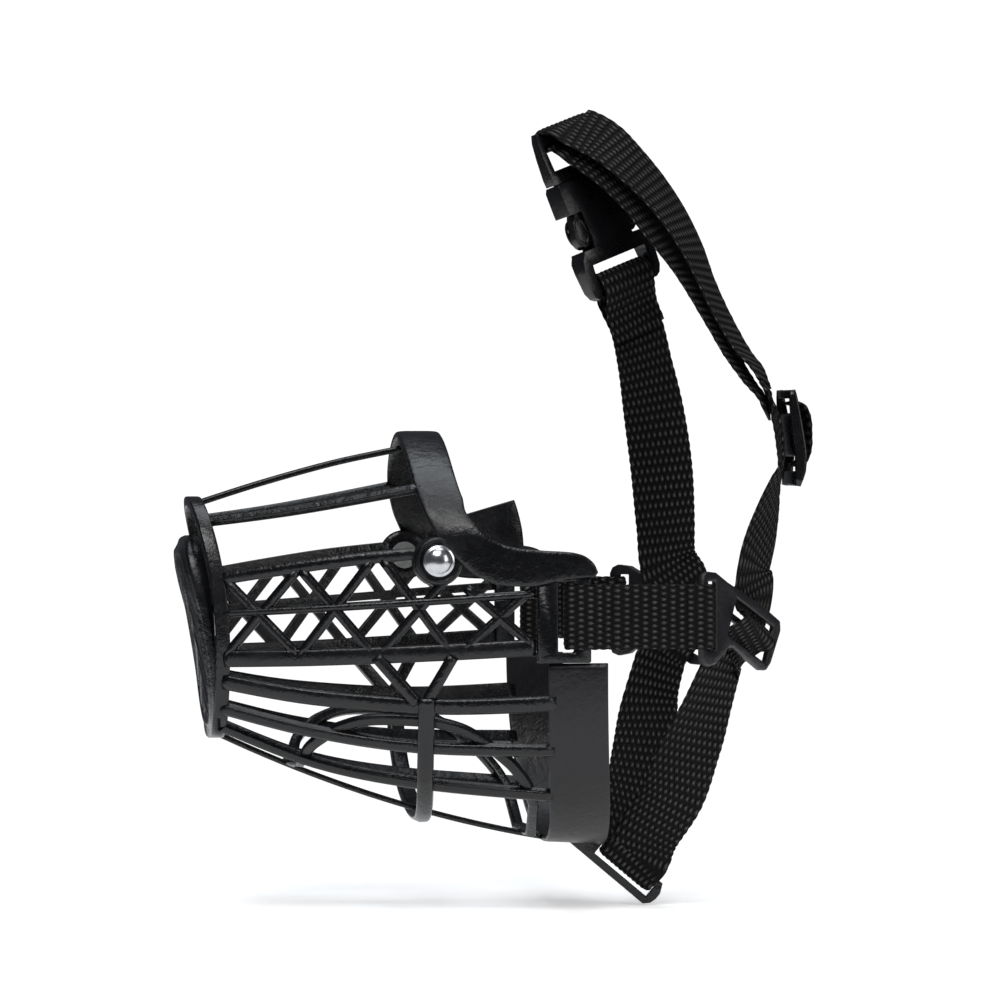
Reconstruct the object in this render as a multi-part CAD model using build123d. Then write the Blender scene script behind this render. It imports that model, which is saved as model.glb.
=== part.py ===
"""Basket muzzle for a dog: an open moulded cage with a webbing neck harness.

Millimetres. The nose points to -X, the way in faces +X, +Z is up, and the dog's left side is -Y.
The origin is the middle of the snout opening, on the line between the two cheek strap slots.
"""
from build123d import *
import math
import os

# Driving dimensions of the basket
NOSE_X = -101.0            # rear face of the nose hoop
RIM_X = -4.0               # front edge of the rim band
NOSE_HALF_WIDTH = 27.0
MID_X = -42.0              # plane of the cross hoop
MID_HALF_WIDTH = 44.0
RIM_HALF_WIDTH = 49.0
WIDEST_Z = -8.0            # height at which the wall is widest; it is upright above this
NOSE_KEEL_Z = -38.0
MID_KEEL_Z = -60.5
RIM_KEEL_Z = -69.5
WALL_POWER = 2.3           # superellipse power of the lower wall's section
WALL = 2.4                 # thickness of the mouldings

# Bars, as (width over the wall, thickness through it)
RAIL_TOP = (3.8, 2.8)
RAIL_MID = (2.6, 2.4)
RAIL_LOW = (5.2, 2.8)
DIAGONAL = (3.0, 2.2)
CAGE_A = (5.0, 2.4)
CAGE_B = (4.0, 2.4)
CAGE_C = (4.0, 2.4)
KEEL = (4.6, 1.8)
HOOP = (5.0, 3.4)
OVAL = (3.4, 3.2)
TOP_BAR = (3.0, 2.6)

# Cheek slots in the rim's upper corners
SLOT_FRAME_X = (-9.2, 7.4)
SLOT_FRAME_Z = (-14.0, 12.3)
SLOT_X = (-2.8, 2.2)
SLOT_HALF_HEIGHT = 10.8
SLOT_FRAME_THICK = 3.0
SLOT_FRAME_Y = 50.0

# Webbing
WEB_WIDTH = 20.0
WEB_THICK = 1.4
RUN = 0.35                 # clearance round whatever the webbing is looped over

# Rivets
RIVET_X, RIVET_Z = -39.1, 17.2
RIVET_HEAD_R = 4.9
RIVET_HEAD_H = 2.4
RIVET_POST_R = 2.0
WASHER_R = 4.2
WASHER_T = 0.8
LOBE_R = 6.8
SEAT_R = 7.4

# Neck strap connectors
CONNECTOR_T = 2.2
CONNECTOR_YAW = 48.0       # degrees the plates turn inwards behind the cheek straps
CONNECTOR_TILT = -23.4     # degrees the strap window leans
CONNECTOR_LEFT_X = 42.0    # the left plate's front bar
CONNECTOR_RIGHT_X = 30.0   # the right plate's front bar, where its cheek strap is drawn in
CONNECTOR_Y = 50.2
WINDOW_U, WINDOW_V = 26.4, -5.0   # middle of the strap window, in the plate
WINDOW_SLOT = (23.6, 5.0)         # each of its two slots
FRONT_SLOT = (4.6, 21.4)          # the upright slot for the cheek strap

# Side-release buckle
BUCKLE_CENTRE = (19.8, 30.0, 128.5)
BUCKLE_DOWN = (0.3696, 0.0, -0.9292)     # from the plug's strap bar to the socket's strap bar
BUCKLE_ACROSS = (0.84, 0.43, 0.334)
BUCKLE_WIDTH = 25.0
BUCKLE_THICK = 8.6
STRAP_FRAME_WIDTH = 28.0
BUCKLE_BAR = 24.5          # from the buckle's middle to each strap bar
MOUTH = 10.0               # the socket's mouth
SOCKET_END = -17.6
CAVITY = (22.0, 5.6)
STRAP_BAR = 3.2            # each strap bar, square
STRAP_OPENING = 21.2       # clear width of the opening in front of a strap bar
NOTCH_FROM = 7.6           # the side windows, from this far off the middle line
NOTCH = (-12.6, -0.3)      # and between these stations along the buckle
PRONG_T = 4.6

# Slide adjuster
ADJUSTER_WIDTH = 25.0
ADJUSTER_THICK = [2.4, 3.2, 3.8, 4.0, 3.4, 2.4]     # from its top edge to its bottom edge
ADJUSTER_SLOT = (21.0, 4.6)
ADJUSTER_SLOT_Z = (64.6, 46.4)

LEFT, RIGHT = -1, 1
parts = {}


def blend3(x, nose, mid, rim):
    """Value at x of the parabola that takes the three values at the nose, the cross hoop and the rim."""
    a = (x - MID_X) * (x - RIM_X) / ((NOSE_X - MID_X) * (NOSE_X - RIM_X))
    b = (x - NOSE_X) * (x - RIM_X) / ((MID_X - NOSE_X) * (MID_X - RIM_X))
    c = (x - NOSE_X) * (x - MID_X) / ((RIM_X - NOSE_X) * (RIM_X - MID_X))
    return a * nose + b * mid + c * rim


def half_width(x):
    return blend3(min(x, 8.0), NOSE_HALF_WIDTH, MID_HALF_WIDTH, RIM_HALF_WIDTH)


def keel_z(x):
    return blend3(min(x, 8.0), NOSE_KEEL_Z, MID_KEEL_Z, RIM_KEEL_Z)


def wall_y(x, z):
    """Half-width of the basket's wall at a station and height."""
    if z >= WIDEST_Z:
        return half_width(x)
    depth = min(0.9995, (WIDEST_Z - z) / (WIDEST_Z - keel_z(x)))
    return half_width(x) * (1 - depth ** WALL_POWER) ** (1 / WALL_POWER)


def on_wall(x, z, side):
    return Vector(x, side * wall_y(x, z), z)


def round_wall(x, degrees):
    """Point on the lower wall's section: 0 is the left side, 90 the keel and 180 the right side."""
    c, s = math.cos(math.radians(degrees)), math.sin(math.radians(degrees))
    y = -half_width(x) * math.copysign(abs(c) ** (2 / WALL_POWER), c)
    return Vector(x, y, WIDEST_Z - (WIDEST_Z - keel_z(x)) * abs(s) ** (2 / WALL_POWER))


def outward(p):
    """Direction out of the basket at a point of its wall."""
    return Vector(-0.18, p.Y / 48.0, min(0.0, p.Z - WIDEST_Z) / 62.0).normalized()


def band(points, normals, width, thick):
    """Closed strip with a rectangular section, lofted through the points, its face along the normals."""
    rings = []
    last = len(points) - 1
    for i, p in enumerate(points):
        run = (points[min(i + 1, last)] - points[max(i - 1, 0)]).normalized()
        across = normals[i].cross(run).normalized()
        up = run.cross(across).normalized()
        w = width[i] if isinstance(width, list) else width
        t = thick[i] if isinstance(thick, list) else thick
        corners = [(-1, -1), (1, -1), (1, 1), (-1, 1)]
        rings.append(Wire.make_polygon([p + across * (a * w / 2) + up * (b * t / 2) for a, b in corners]))
    return Solid.make_loft(rings, ruled=True)


def wall_bar(knots, side, size, steps=8, offset=0.0):
    """Bar that follows the wall through side-view points (x, z)."""
    line = Spline(*[(x, 0, z) for x, z in knots]) if len(knots) > 2 else Line(*[(x, 0, z) for x, z in knots])
    spots = [line @ (i / steps) for i in range(steps + 1)]
    points = [on_wall(s.X, s.Z, side) for s in spots]
    normals = [outward(p) for p in points]
    return band([p + n * offset for p, n in zip(points, normals)], normals, *size)


def prism(outline, y0, y1):
    """Side-view outline of (x, z) points, as deep as from y0 to y1."""
    face = Face(Wire.make_polygon([(x, y0, z) for x, z in outline]))
    return Solid.extrude(face, Vector(0, y1 - y0, 0))


def whole(result):
    """The solids of a boolean result, as one shape, without slivers."""
    found = result if isinstance(result, (list, ShapeList)) else [result]
    solids = [s for shape in found for s in shape.solids() if s.volume > 0.5]
    return solids[0] if len(solids) == 1 else Compound(solids)


def fuse(shapes):
    return whole(shapes[0].fuse(*shapes[1:]))


def cut(shape, *tools):
    for tool in tools:
        shape = whole(shape.cut(tool))
    return shape


def meet(shape, tool):
    return whole(shape.intersect(tool))


def largest(shape):
    return max(shape.solids(), key=lambda s: s.volume)


def rivet_y():
    """Half-width of the wall where the rivets go through it."""
    return half_width(RIVET_X)


# Nose hoop: a rounded ring that closes the cage's front. Its plane leans back towards the chin.
def nose_hoop_point(degrees):
    c, s = math.cos(math.radians(degrees)), math.sin(math.radians(degrees))
    high, low = 35.0, 37.0
    y = NOSE_HALF_WIDTH * math.copysign(abs(c) ** 0.75, c)
    z = (high if s > 0 else low) * math.copysign(abs(s) ** 0.85, s)
    return Vector(nose_hoop_x(z), y, z)


def nose_hoop_x(z):
    """The hoop leans forward above its middle."""
    return -103.2 - 0.0052 * max(0.0, z + 12) ** 2 * 0.62


hoop_points = [nose_hoop_point(a) for a in range(0, 361, 12)]
hoop_normals = [Vector(0, p.Y / 27.0 ** 2, p.Z / 36.0 ** 2).normalized() for p in hoop_points]
half = len(hoop_points) // 2
parts["nose_hoop"] = fuse([
    band(hoop_points[: half + 1], hoop_normals[: half + 1], 4.4, 3.0),
    band(hoop_points[half:], hoop_normals[half:], 4.4, 3.0),
])

# Nose plate: the thick shield in front of the hoop, bowed forward and thinner at its edge.
PLATE_OUTLINE = [(0, 24.6), (13, 24.0), (20, 20.0), (23, 10.0), (23.5, -8.0), (21, -24.0), (13, -36.0), (0, -38.6)]


plate_tool = Solid.extrude(
    Face(Wire.make_polygon([Vector(-130, y, z) for y, z in
                            PLATE_OUTLINE + [(-y, z) for y, z in PLATE_OUTLINE[-2:0:-1]]])), Vector(60, 0, 0))
plate_side = [(nose_hoop_x(z) - 2.3, z) for z in (26, 20, 12, 4, -4, -12, -20, -30, -40)]
plate_front = [(-106.0, -40), (-106.8, -34.6), (-107.2, -27.8), (-107.8, -19.4), (-108.6, -12.5), (-109.7, -5.4),
               (-110.9, 1.2), (-112.9, 8.3), (-114.3, 13.9), (-115.4, 19.5), (-115.4, 22.3), (-113.8, 26)]
parts["nose_plate"] = meet(prism(plate_side + plate_front, -30, 30), plate_tool)

# Top bars: three slim bars from the nose hoop back to the arch.
centre_line = [(-108.8, 34.3), (-89, 40.6), (-66, 46.9), (-45.4, 51.2)]
SIDE_BAR = [(-108.2, 17.3, 28.7), (-80, 26.0, 32.6), (-43.2, 36.4, 39.4)]
parts["top_bar_centre"] = band([Vector(x, 0, z) for x, z in centre_line], [Vector(0, 0, 1)] * 4, 4.0, 2.0)
for name, side in (("left", LEFT), ("right", RIGHT)):
    line = [Vector(x, side * y, z) for x, y, z in SIDE_BAR]
    parts["top_bar_" + name] = band(line, [Vector(0, side * 0.6, 0.8)] * 3, *TOP_BAR)

# Nose arch: a flat band over the bridge of the nose that turns back into an arm on each side.
ARCH_TOP_Z = 55.6
ARCH_FOOT_Z = 24.6
ARCH_HALF_WIDTH = 47.5
ARCH_BASE_Z = 24.0
ARCH_POWER = 1.6
ARCH_WIDTH = 13.4


def arch_mid_x(z):
    """Middle of the band in side view: it leans back as it comes down."""
    drop = 52.0 - z
    return -39.9 + 0.06 * drop + 0.0003 * drop ** 3


def arch_point(degrees):
    c, s = math.cos(math.radians(degrees)), math.sin(math.radians(degrees))
    y = ARCH_HALF_WIDTH * math.copysign(abs(c) ** (2 / ARCH_POWER), c)
    z = ARCH_BASE_Z + (ARCH_TOP_Z - ARCH_BASE_Z) * abs(s) ** (2 / ARCH_POWER)
    return Vector(arch_mid_x(z), y, z)


foot_height = (ARCH_FOOT_Z - ARCH_BASE_Z) / (ARCH_TOP_Z - ARCH_BASE_Z)
foot_degrees = math.degrees(math.asin(foot_height ** (ARCH_POWER / 2)))
arch_points = [arch_point(foot_degrees + (180 - 2 * foot_degrees) * i / 24) for i in range(25)]
arch_normals = [Vector(0, p.Y / 2200, max(0.0, p.Z - ARCH_BASE_Z) / 1000).normalized() for p in arch_points]
arch_band = band(arch_points, arch_normals, ARCH_WIDTH, WALL)

ARM_OUTLINE = [(-43.2, 30.0), (-41.2, 27.2), (-39.4, 24.2), (-33.2, 17.5), (-30.8, 15.1), (-28, 12.9), (-25.3, 11.4),
               (-20.9, 9.8), (-15.7, 9.3), (-9.6, 9.3), (-9.6, 12.6), (9.2, 12.6), (8.8, 15.0), (7.4, 17.2), (5.0, 18.9),
               (1.4, 19.8), (-10, 20.5), (-14.4, 20.8), (-19.6, 22.2), (-24.6, 24.9), (-28, 28.6), (-29.2, 30.0)]
TAIL_OUTLINE = [(-22.0, 21.0), (-19.0, 29.4), (-3.0, 34.4), (0.6, 18.4)]


def arm_wall(side, inner, outer):
    """The arm's wall seen from above: the basket's half-width, this far out."""
    stations = [-50, -45, -40, -35, -30, -25, -20, -15, -10, -5, 0, 5, 10]
    ring = [(x, side * (half_width(x) + inner)) for x in stations]
    ring += [(x, side * (half_width(x) + outer)) for x in reversed(stations)]
    face = Face(Wire.make_polygon([(x, y, 5) for x, y in ring]))
    return Solid.extrude(face, Vector(0, 0, 32))


ARM_INNER, ARM_OUTER = 1.5, 3.9


def arm(side):
    """Arm with the round lobe that the rivet goes through, lying outside the truss."""
    y0, y1 = side * 40, side * 60
    lobe = Solid.make_cylinder(LOBE_R, 20, Plane(origin=(RIVET_X, y0, RIVET_Z), z_dir=(0, side, 0)))
    flat = fuse([prism(ARM_OUTLINE, y0, y1), lobe])
    if side == RIGHT:
        flat = fuse([flat, prism(TAIL_OUTLINE, y0, y1)])
    plate = meet(flat, arm_wall(side, ARM_INNER, ARM_OUTER))
    hole = Solid.make_cylinder(RIVET_POST_R, 40, Plane(origin=(RIVET_X, y0 - side * 10, RIVET_Z), z_dir=(0, side, 0)))
    return cut(plate, hole)


parts["nose_arch"] = fuse([arch_band, arm(LEFT), arm(RIGHT)])

# Truss panels: three rails with a row of crossed diagonals, one panel each side.
TOP_RAIL = [(-102.6, 11.6), (-86.9, 14.2), (-65.0, 17.4), (-43.3, 19.6)]
MID_RAIL = [(-102.6, 0.9), (-70.2, 2.9), (-45, 4.6), (-9.4, 7.1)]
LOW_RAIL = [(-102.6, -13.0), (-75.0, -12.4), (-38.0, -10.8), (-9.4, -9.2)]
CROSS_X = [-91.6, -69.4, -45.0, -20.0]     # where each pair of diagonals crosses
REACH = [(10.6, 10.6), (10.6, 10.6), (10.6, 9.2), (10.6, 9.2)]     # from there to the ends in front and behind
HEADS_UNDER_ARM = {2: 12.4, 3: 8.6}        # height of the rear head of the pairs that end under the arm


def rail_z(rail, x):
    """Height of a rail at x, in straight lines between its points."""
    for (x0, z0), (x1, z1) in zip(rail, rail[1:]):
        if x <= x1 or (x1, z1) == rail[-1]:
            return z0 + (z1 - z0) * (x - x0) / (x1 - x0)
    return rail[-1][1]


def truss(side):
    bars = [wall_bar(TOP_RAIL, side, RAIL_TOP), wall_bar(MID_RAIL, side, RAIL_MID, 12),
            wall_bar(LOW_RAIL, side, RAIL_LOW, 12)]
    for i, (x, (fore, aft)) in enumerate(zip(CROSS_X, REACH)):
        front_head = (x - fore, rail_z(TOP_RAIL, x - fore) - 0.8 if x - fore < -45 else 9.0)
        rear_head = (x + aft, HEADS_UNDER_ARM.get(i, rail_z(TOP_RAIL, x + aft) - 0.8))
        bars.append(wall_bar([(x - fore, rail_z(LOW_RAIL, x - fore) + 1.0), rear_head], side, DIAGONAL, 4))
        bars.append(wall_bar([(x + aft, rail_z(LOW_RAIL, x + aft) + 1.0), front_head], side, DIAGONAL, 4))
    y0 = side * (rivet_y() - WALL / 2)
    seat = Solid.make_cylinder(SEAT_R, WALL, Plane(origin=(RIVET_X, y0, RIVET_Z), z_dir=(0, side, 0)))
    hole = Solid.make_cylinder(RIVET_POST_R, 40,
                               Plane(origin=(RIVET_X, side * 25, RIVET_Z), z_dir=(0, side, 0)))
    return cut(fuse(bars + [seat]), hole)


for name, side in (("left", LEFT), ("right", RIGHT)):
    parts["truss_panel_" + name] = truss(side)

# Rivets: a domed cap and its post through arm and truss, clinched over a washer inside.
for name, side in (("left", LEFT), ("right", RIGHT)):
    outer = rivet_y() + ARM_OUTER
    axis = Plane(origin=(RIVET_X, side * outer, RIVET_Z), z_dir=(0, side, 0))
    dome_r = (RIVET_HEAD_R ** 2 + RIVET_HEAD_H ** 2) / (2 * RIVET_HEAD_H)
    sphere = Solid.make_sphere(dome_r, Plane(origin=(RIVET_X, side * (outer + RIVET_HEAD_H - dome_r), RIVET_Z)),
                               angle1=-90, angle2=90, angle3=360)
    cap = meet(Solid.make_cylinder(RIVET_HEAD_R, RIVET_HEAD_H + 0.5, axis), sphere)
    inner = rivet_y() - WALL / 2 - WASHER_T - 0.6
    post = Solid.make_cylinder(RIVET_POST_R, outer - inner, Plane(origin=(RIVET_X, side * inner, RIVET_Z),
                                                                  z_dir=(0, side, 0)))
    parts["rivet_" + name] = fuse([cap, post])
    seat = Plane(origin=(RIVET_X, side * (rivet_y() - WALL / 2 - WASHER_T), RIVET_Z), z_dir=(0, side, 0))
    parts["rivet_washer_" + name] = cut(Solid.make_cylinder(WASHER_R, WASHER_T, seat),
                                        Solid.make_cylinder(RIVET_POST_R, WASHER_T, seat))

for side_name in ("left", "right"):
    rivet, washer = parts["rivet_" + side_name], parts["rivet_washer_" + side_name]
    parts["nose_arch"] = cut(parts["nose_arch"], rivet)
    parts["truss_panel_" + side_name] = cut(parts["truss_panel_" + side_name], rivet, washer)

# Rim band: the wide smooth band round the way in, from one slot frame under the jaw to the other.
rim_points, rim_normals, rim_widths = [], [], []
for i in range(31):
    angle = 4 + 172 * i / 30
    p = round_wall(4.0, angle)
    low = (WIDEST_Z - p.Z) / 62.0
    x = 3.6 + 4.8 * max(0.0, low) ** 2.5
    rim_points.append(Vector(x, p.Y, p.Z))
    rim_normals.append(Vector(-0.0008, p.Y / 49.0 ** 2, (p.Z - WIDEST_Z) / 62.0 ** 2).normalized())
    rim_widths.append(18.2 + 0.4 * max(0.0, low) ** 2)
rim = band(rim_points, rim_normals, rim_widths, WALL)


# Slot frames: upright rectangular eyes in the rim's upper corners that carry the cheek straps.
def slot_frame(side):
    y0 = side * (SLOT_FRAME_Y - SLOT_FRAME_THICK / 2)
    y1 = side * (SLOT_FRAME_Y + SLOT_FRAME_THICK / 2)
    (x0, x1), (z0, z1) = SLOT_FRAME_X, SLOT_FRAME_Z
    body = prism([(x0, z0), (x1, z0), (x1, z1), (x0, z1)], y0, y1)
    (s0, s1), h = SLOT_X, SLOT_HALF_HEIGHT
    return cut(body, prism([(s0, -h), (s1, -h), (s1, h), (s0, h)], y0 - side, y1 + side))


frames = {side: slot_frame(side) for side in (LEFT, RIGHT)}
parts["rim_band"] = cut(rim, frames[LEFT], frames[RIGHT])
parts["slot_frame_left"] = frames[LEFT]
parts["slot_frame_right"] = frames[RIGHT]
for name, side in (("left", LEFT), ("right", RIGHT)):
    parts["truss_panel_" + name] = cut(parts["truss_panel_" + name], frames[side])
    parts["nose_arch"] = cut(parts["nose_arch"], frames[side])
for name in ("left", "right"):
    parts["nose_arch"] = cut(parts["nose_arch"], parts["truss_panel_" + name])

# Cross hoop under the cage with the two V arms that brace it to each truss.
BRACES = [(-57.4, -44.9), (-34.4, -42.4)]     # upper and lower end of each arm
BRACE = (3.6, 2.6)
hoop_line = [round_wall(MID_X + 3.0 * math.sin(math.radians(a)) ** 4, a) for a in range(15, 166, 6)]
hoop = band([p + outward(p) * 1.7 for p in hoop_line], [outward(p) for p in hoop_line], *HOOP)
braces = []
for side in (LEFT, RIGHT):
    for foot_x, head_x in BRACES:
        braces.append(wall_bar([(foot_x, -12.0), (head_x, -26.0)], side, BRACE, 4, 0.9))
cross_hoop = fuse([hoop] + braces)
for name in ("left", "right"):
    cross_hoop = cut(cross_hoop, parts["truss_panel_" + name])
parts["cross_hoop"] = cross_hoop

# Belly hoop: an oval rib round the underside, front and rear of the cross hoop.
OVAL_SIDE = [(-79.0, -51.0), (-76.8, -42.4), (-72.8, -38.1), (-67.9, -34.8), (-58.7, -32.2), (-44.6, -32.4),
             (-37.9, -33.2), (-30.5, -35.5), (-24.0, -39.6), (-19.1, -43.4), (-14.7, -47.4), (-10.4, -53.0),
             (-7.6, -58.8)]


def oval_half():
    """The rib's centre line on the right side, from the keel in front round to the keel behind."""
    line = Spline(*[(x, 0, z) for x, z in OVAL_SIDE])
    spots = [line @ (i / 22) for i in range(23)]
    side = [on_wall(s.X, max(s.Z, keel_z(s.X) + 1.0), RIGHT) for s in spots]
    front = [Vector(-80.2, y, keel_z(-80.2)) for y in (0.0, 3.0, 7.0)]
    rear = [Vector(-6.6, y, keel_z(-6.6)) for y in (16.0, 8.0, 0.0)]
    return [p - outward(p) * 1.4 for p in front + side + rear]


oval_line = oval_half()
right_rib = band(oval_line, [outward(p) for p in oval_line], *OVAL)
left_rib = right_rib.mirror(Plane.XZ)
parts["belly_hoop"] = cut(fuse([right_rib, left_rib]), parts["cross_hoop"], parts["rim_band"])

# Cage bars: long flat bars from the nose hoop to the rim, three each side and one along the keel.
CAGE_LINES = {
    "upper": ([(-102.8, -20.0), (-75.8, -24.6), (-38.4, -27.3), (-3.0, -26.3)], CAGE_A),
    "middle": ([(-102.8, -28.4), (-75.4, -35.3), (-44.4, -39.8), (-3.0, -41.0)], CAGE_B),
    "lower": ([(-102.8, -34.0), (-73.8, -45.3), (-43.1, -51.4), (-2.0, -55.2)], CAGE_C),
}
cutters = [parts[n] for n in ("nose_hoop", "cross_hoop", "belly_hoop", "rim_band")]
for name, side in (("left", LEFT), ("right", RIGHT)):
    for level, (knots, size) in CAGE_LINES.items():
        bar = wall_bar(knots, side, size, 10)
        parts["cage_bar_%s_%s" % (level, name)] = cut(bar, *cutters)
keel_line = [Vector(x, 0, keel_z(x)) for x in (-101.6, -90, -78, -64, -50, -36, -22, -8, -1.0)]
keel = band(keel_line, [Vector(0, 0, -1)] * len(keel_line), *KEEL)
parts["keel_bar"] = cut(keel, *cutters)
for name in ("truss_panel_left", "truss_panel_right", "top_bar_centre", "top_bar_left", "top_bar_right"):
    parts[name] = cut(parts[name], parts["nose_hoop"])
for name in ("top_bar_centre", "top_bar_left", "top_bar_right"):
    parts[name] = cut(parts[name], parts["nose_arch"])

# Throat tab: a slotted plate on the middle line that slopes back and down from the rim.
TAB_ANGLE = -40.0
TAB_START = Vector(12.0, 0, -70.6)
TAB_T = 3.0
SLOT_LENGTH, SLOT_WIDTH = 21.6, 3.8
SLOT_CENTRE = (16.7, 0.6)     # middle of the slot, along and across the tab
TAB_PLANE = Plane(origin=TAB_START, x_dir=(math.cos(math.radians(TAB_ANGLE)), 0, math.sin(math.radians(TAB_ANGLE))),
                  z_dir=(0, -1, 0))


def tab_shape():
    """The tab: bars above and below the slot and a round end past it."""
    u, v = SLOT_CENTRE
    half_l, half_w = SLOT_LENGTH / 2, SLOT_WIDTH / 2
    upper, lower, end = 2.6, 2.4, 2.6
    ring = [(-6.0, v - half_w - lower), (u + half_l + 0.4, v - half_w - lower), (u + half_l + 2.0, v - half_w - 0.8),
            (u + half_l + end, v - half_w + 1.2), (u + half_l + end, v + half_w - 0.4),
            (u + half_l + 1.2, v + half_w + upper), (-2.0, v + half_w + upper)]
    flat = make_face(Polyline(*ring, close=True)) - Pos(u, v) * Rectangle(SLOT_LENGTH, SLOT_WIDTH)
    return extrude(TAB_PLANE * flat, TAB_T / 2, both=True).solids()[0]


parts["throat_tab"] = largest(cut(tab_shape(), parts["rim_band"]))


# Cheek straps: doubled webbing looped round the slot frame's rear bar and the connector's front bar.
def cheek_strap(side, connector_x, bow):
    """Loop seen from above: an eye at each end, its two layers lying together between them."""
    frame_bar = ((SLOT_X[1] + SLOT_FRAME_X[1]) / 2, SLOT_FRAME_Y)
    eye_a = ((SLOT_FRAME_X[1] - SLOT_X[1]) / 2 + RUN, SLOT_FRAME_THICK / 2 + RUN)
    eye_b = (1.6 + RUN, CONNECTOR_T / 2 + RUN + 0.5)
    t = WEB_THICK
    (ax, ay), (bx, by) = frame_bar, (connector_x, CONNECTOR_Y)
    length = bx - ax

    def layer(sign):
        pts = []
        for i in range(13):
            f = i / 12
            x = ax + length * f
            mid = ay + (by - ay) * f + bow * math.sin(math.pi * f) ** 2
            near_a = max(0.0, 1 - abs(x - ax) / 9.0)
            near_b = max(0.0, 1 - abs(x - bx) / 7.0)
            half_gap = t + (eye_a[1]) * min(1, near_a * 1.8) + (eye_b[1]) * min(1, near_b * 1.6)
            pts.append((x, mid + sign * half_gap))
        return pts

    outer = layer(1)
    inner = layer(-1)
    ring = [(ax - eye_a[0] - t, ay + eye_a[1]), (ax - eye_a[0], ay + eye_a[1] + t)] + outer
    ring += [(bx + eye_b[0], by + eye_b[1] + t), (bx + eye_b[0] + t, by + eye_b[1])]
    ring += [(bx + eye_b[0] + t, by - eye_b[1]), (bx + eye_b[0], by - eye_b[1] - t)] + inner[::-1]
    ring += [(ax - eye_a[0], ay - eye_a[1] - t), (ax - eye_a[0] - t, ay - eye_a[1])]
    face = Face(Wire.make_polygon([(x, side * y, -WEB_WIDTH / 2) for x, y in ring]))
    body = Solid.extrude(face, Vector(0, 0, WEB_WIDTH))
    holes = []
    for (cx, cy), (hx, hy) in ((frame_bar, eye_a), ((bx, by), eye_b)):
        box = Solid.make_box(2 * hx, 2 * hy, WEB_WIDTH + 2,
                             Plane(origin=(cx - hx, side * cy - hy, -WEB_WIDTH / 2 - 1)))
        holes.append(box)
    return cut(body, *holes)


parts["cheek_strap_left"] = cheek_strap(LEFT, CONNECTOR_LEFT_X, 0.0)
parts["cheek_strap_right"] = cheek_strap(RIGHT, CONNECTOR_RIGHT_X, 5.0)

# Connectors: flat plates with an upright slot in front and a barred window behind for the neck strap.
CONNECTOR_OUTLINE = [(-1.6, -12.4), (-0.6, -14.6), (2.0, -15.4), (6.4, -14.6), (9.4, -12.6), (13.6, -9.9), (16.0, -9.9),
                     (23.4, -13.5), (31.6, -17.4), (35.2, -17.6), (37.4, -15.8), (43.6, -5.2), (43.4, -2.4),
                     (33.7, 2.3), (13.1, 10.3), (6.4, 13.4), (1.6, 13.8), (-0.6, 12.9), (-1.6, 11.0)]


def connector_plane(side, front_x):
    yaw = math.radians(CONNECTOR_YAW)
    x_dir = (math.cos(yaw), -side * math.sin(yaw), 0)
    return Plane(origin=(front_x, side * CONNECTOR_Y, 0), x_dir=x_dir, z_dir=Vector(*x_dir).cross(Vector(0, 0, 1)))


def connector(side, front_x):
    """The plate: upright slot, then two slots each side of the window's middle bar."""
    flat = make_face(Polyline(*CONNECTOR_OUTLINE, close=True))
    flat = flat - Pos(3.9, 0) * Rectangle(*FRONT_SLOT)
    for across in (-3.6, 3.6):
        spot = Pos(WINDOW_U, WINDOW_V) * Rot(0, 0, CONNECTOR_TILT) * Pos(0, across)
        flat = flat - spot * Rectangle(*WINDOW_SLOT)
    return extrude(connector_plane(side, front_x) * flat, CONNECTOR_T / 2, both=True).solids()[0]


parts["connector_left"] = connector(LEFT, CONNECTOR_LEFT_X)
parts["connector_right"] = connector(RIGHT, CONNECTOR_RIGHT_X)


def window_frame(side, front_x):
    """Middle, across, upward and outward directions of a connector's strap window."""
    plane = connector_plane(side, front_x)
    out = plane.z_dir if plane.z_dir.Y * side > 0 else plane.z_dir * -1
    tilt = math.radians(CONNECTOR_TILT)
    across = plane.x_dir * math.cos(tilt) + Vector(0, 0, 1) * math.sin(tilt)
    up = plane.x_dir * -math.sin(tilt) + Vector(0, 0, 1) * math.cos(tilt)
    middle = plane.origin + plane.x_dir * WINDOW_U + Vector(0, 0, WINDOW_V)
    return middle, across, up, out


# How far each strap has leant along its window by the time it is clear of the plate.
SLANT = {LEFT: 4.4, RIGHT: 0.0}


def through_window(side, front_x):
    """The strap's way behind the upper rail, over the middle bar and behind the lower rail."""
    middle, across, up, out = window_frame(side, front_x)
    over = CONNECTOR_T / 2 + WEB_THICK / 2 + RUN
    steps = [(-12.0, -over - 1.6), (-7.4, -over - 1.2), (-3.7, -0.1), (0.0, over + 0.8), (3.7, -0.1),
             (7.4, -over - 1.2), (12.0, -over - 1.6)]
    return [middle + up * a + out * b + across * (SLANT[side] * a / 12.0) for a, b in steps]


# Neck strap: one webbing, down through the throat tab's slot and up through a connector on each side.
slot_mid = TAB_PLANE.from_local_coords(Vector(SLOT_CENTRE[0], SLOT_CENTRE[1], 0))
tab_along = TAB_PLANE.x_dir
tab_up = TAB_PLANE.y_dir if TAB_PLANE.y_dir.Z > 0 else TAB_PLANE.y_dir * -1
across_left = window_frame(LEFT, CONNECTOR_LEFT_X)[1]
across_right = window_frame(RIGHT, CONNECTOR_RIGHT_X)[1]


def ribbon(points, acrosses, thick=WEB_THICK, width=WEB_WIDTH):
    """Webbing section by section: its normal is square to its run and to the across direction."""
    normals = []
    last = len(points) - 1
    for i in range(len(points)):
        run = (points[min(i + 1, last)] - points[max(i - 1, 0)]).normalized()
        normals.append(run.cross(Vector(*acrosses[i])).normalized())
    return band(points, normals, width, thick)


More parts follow.
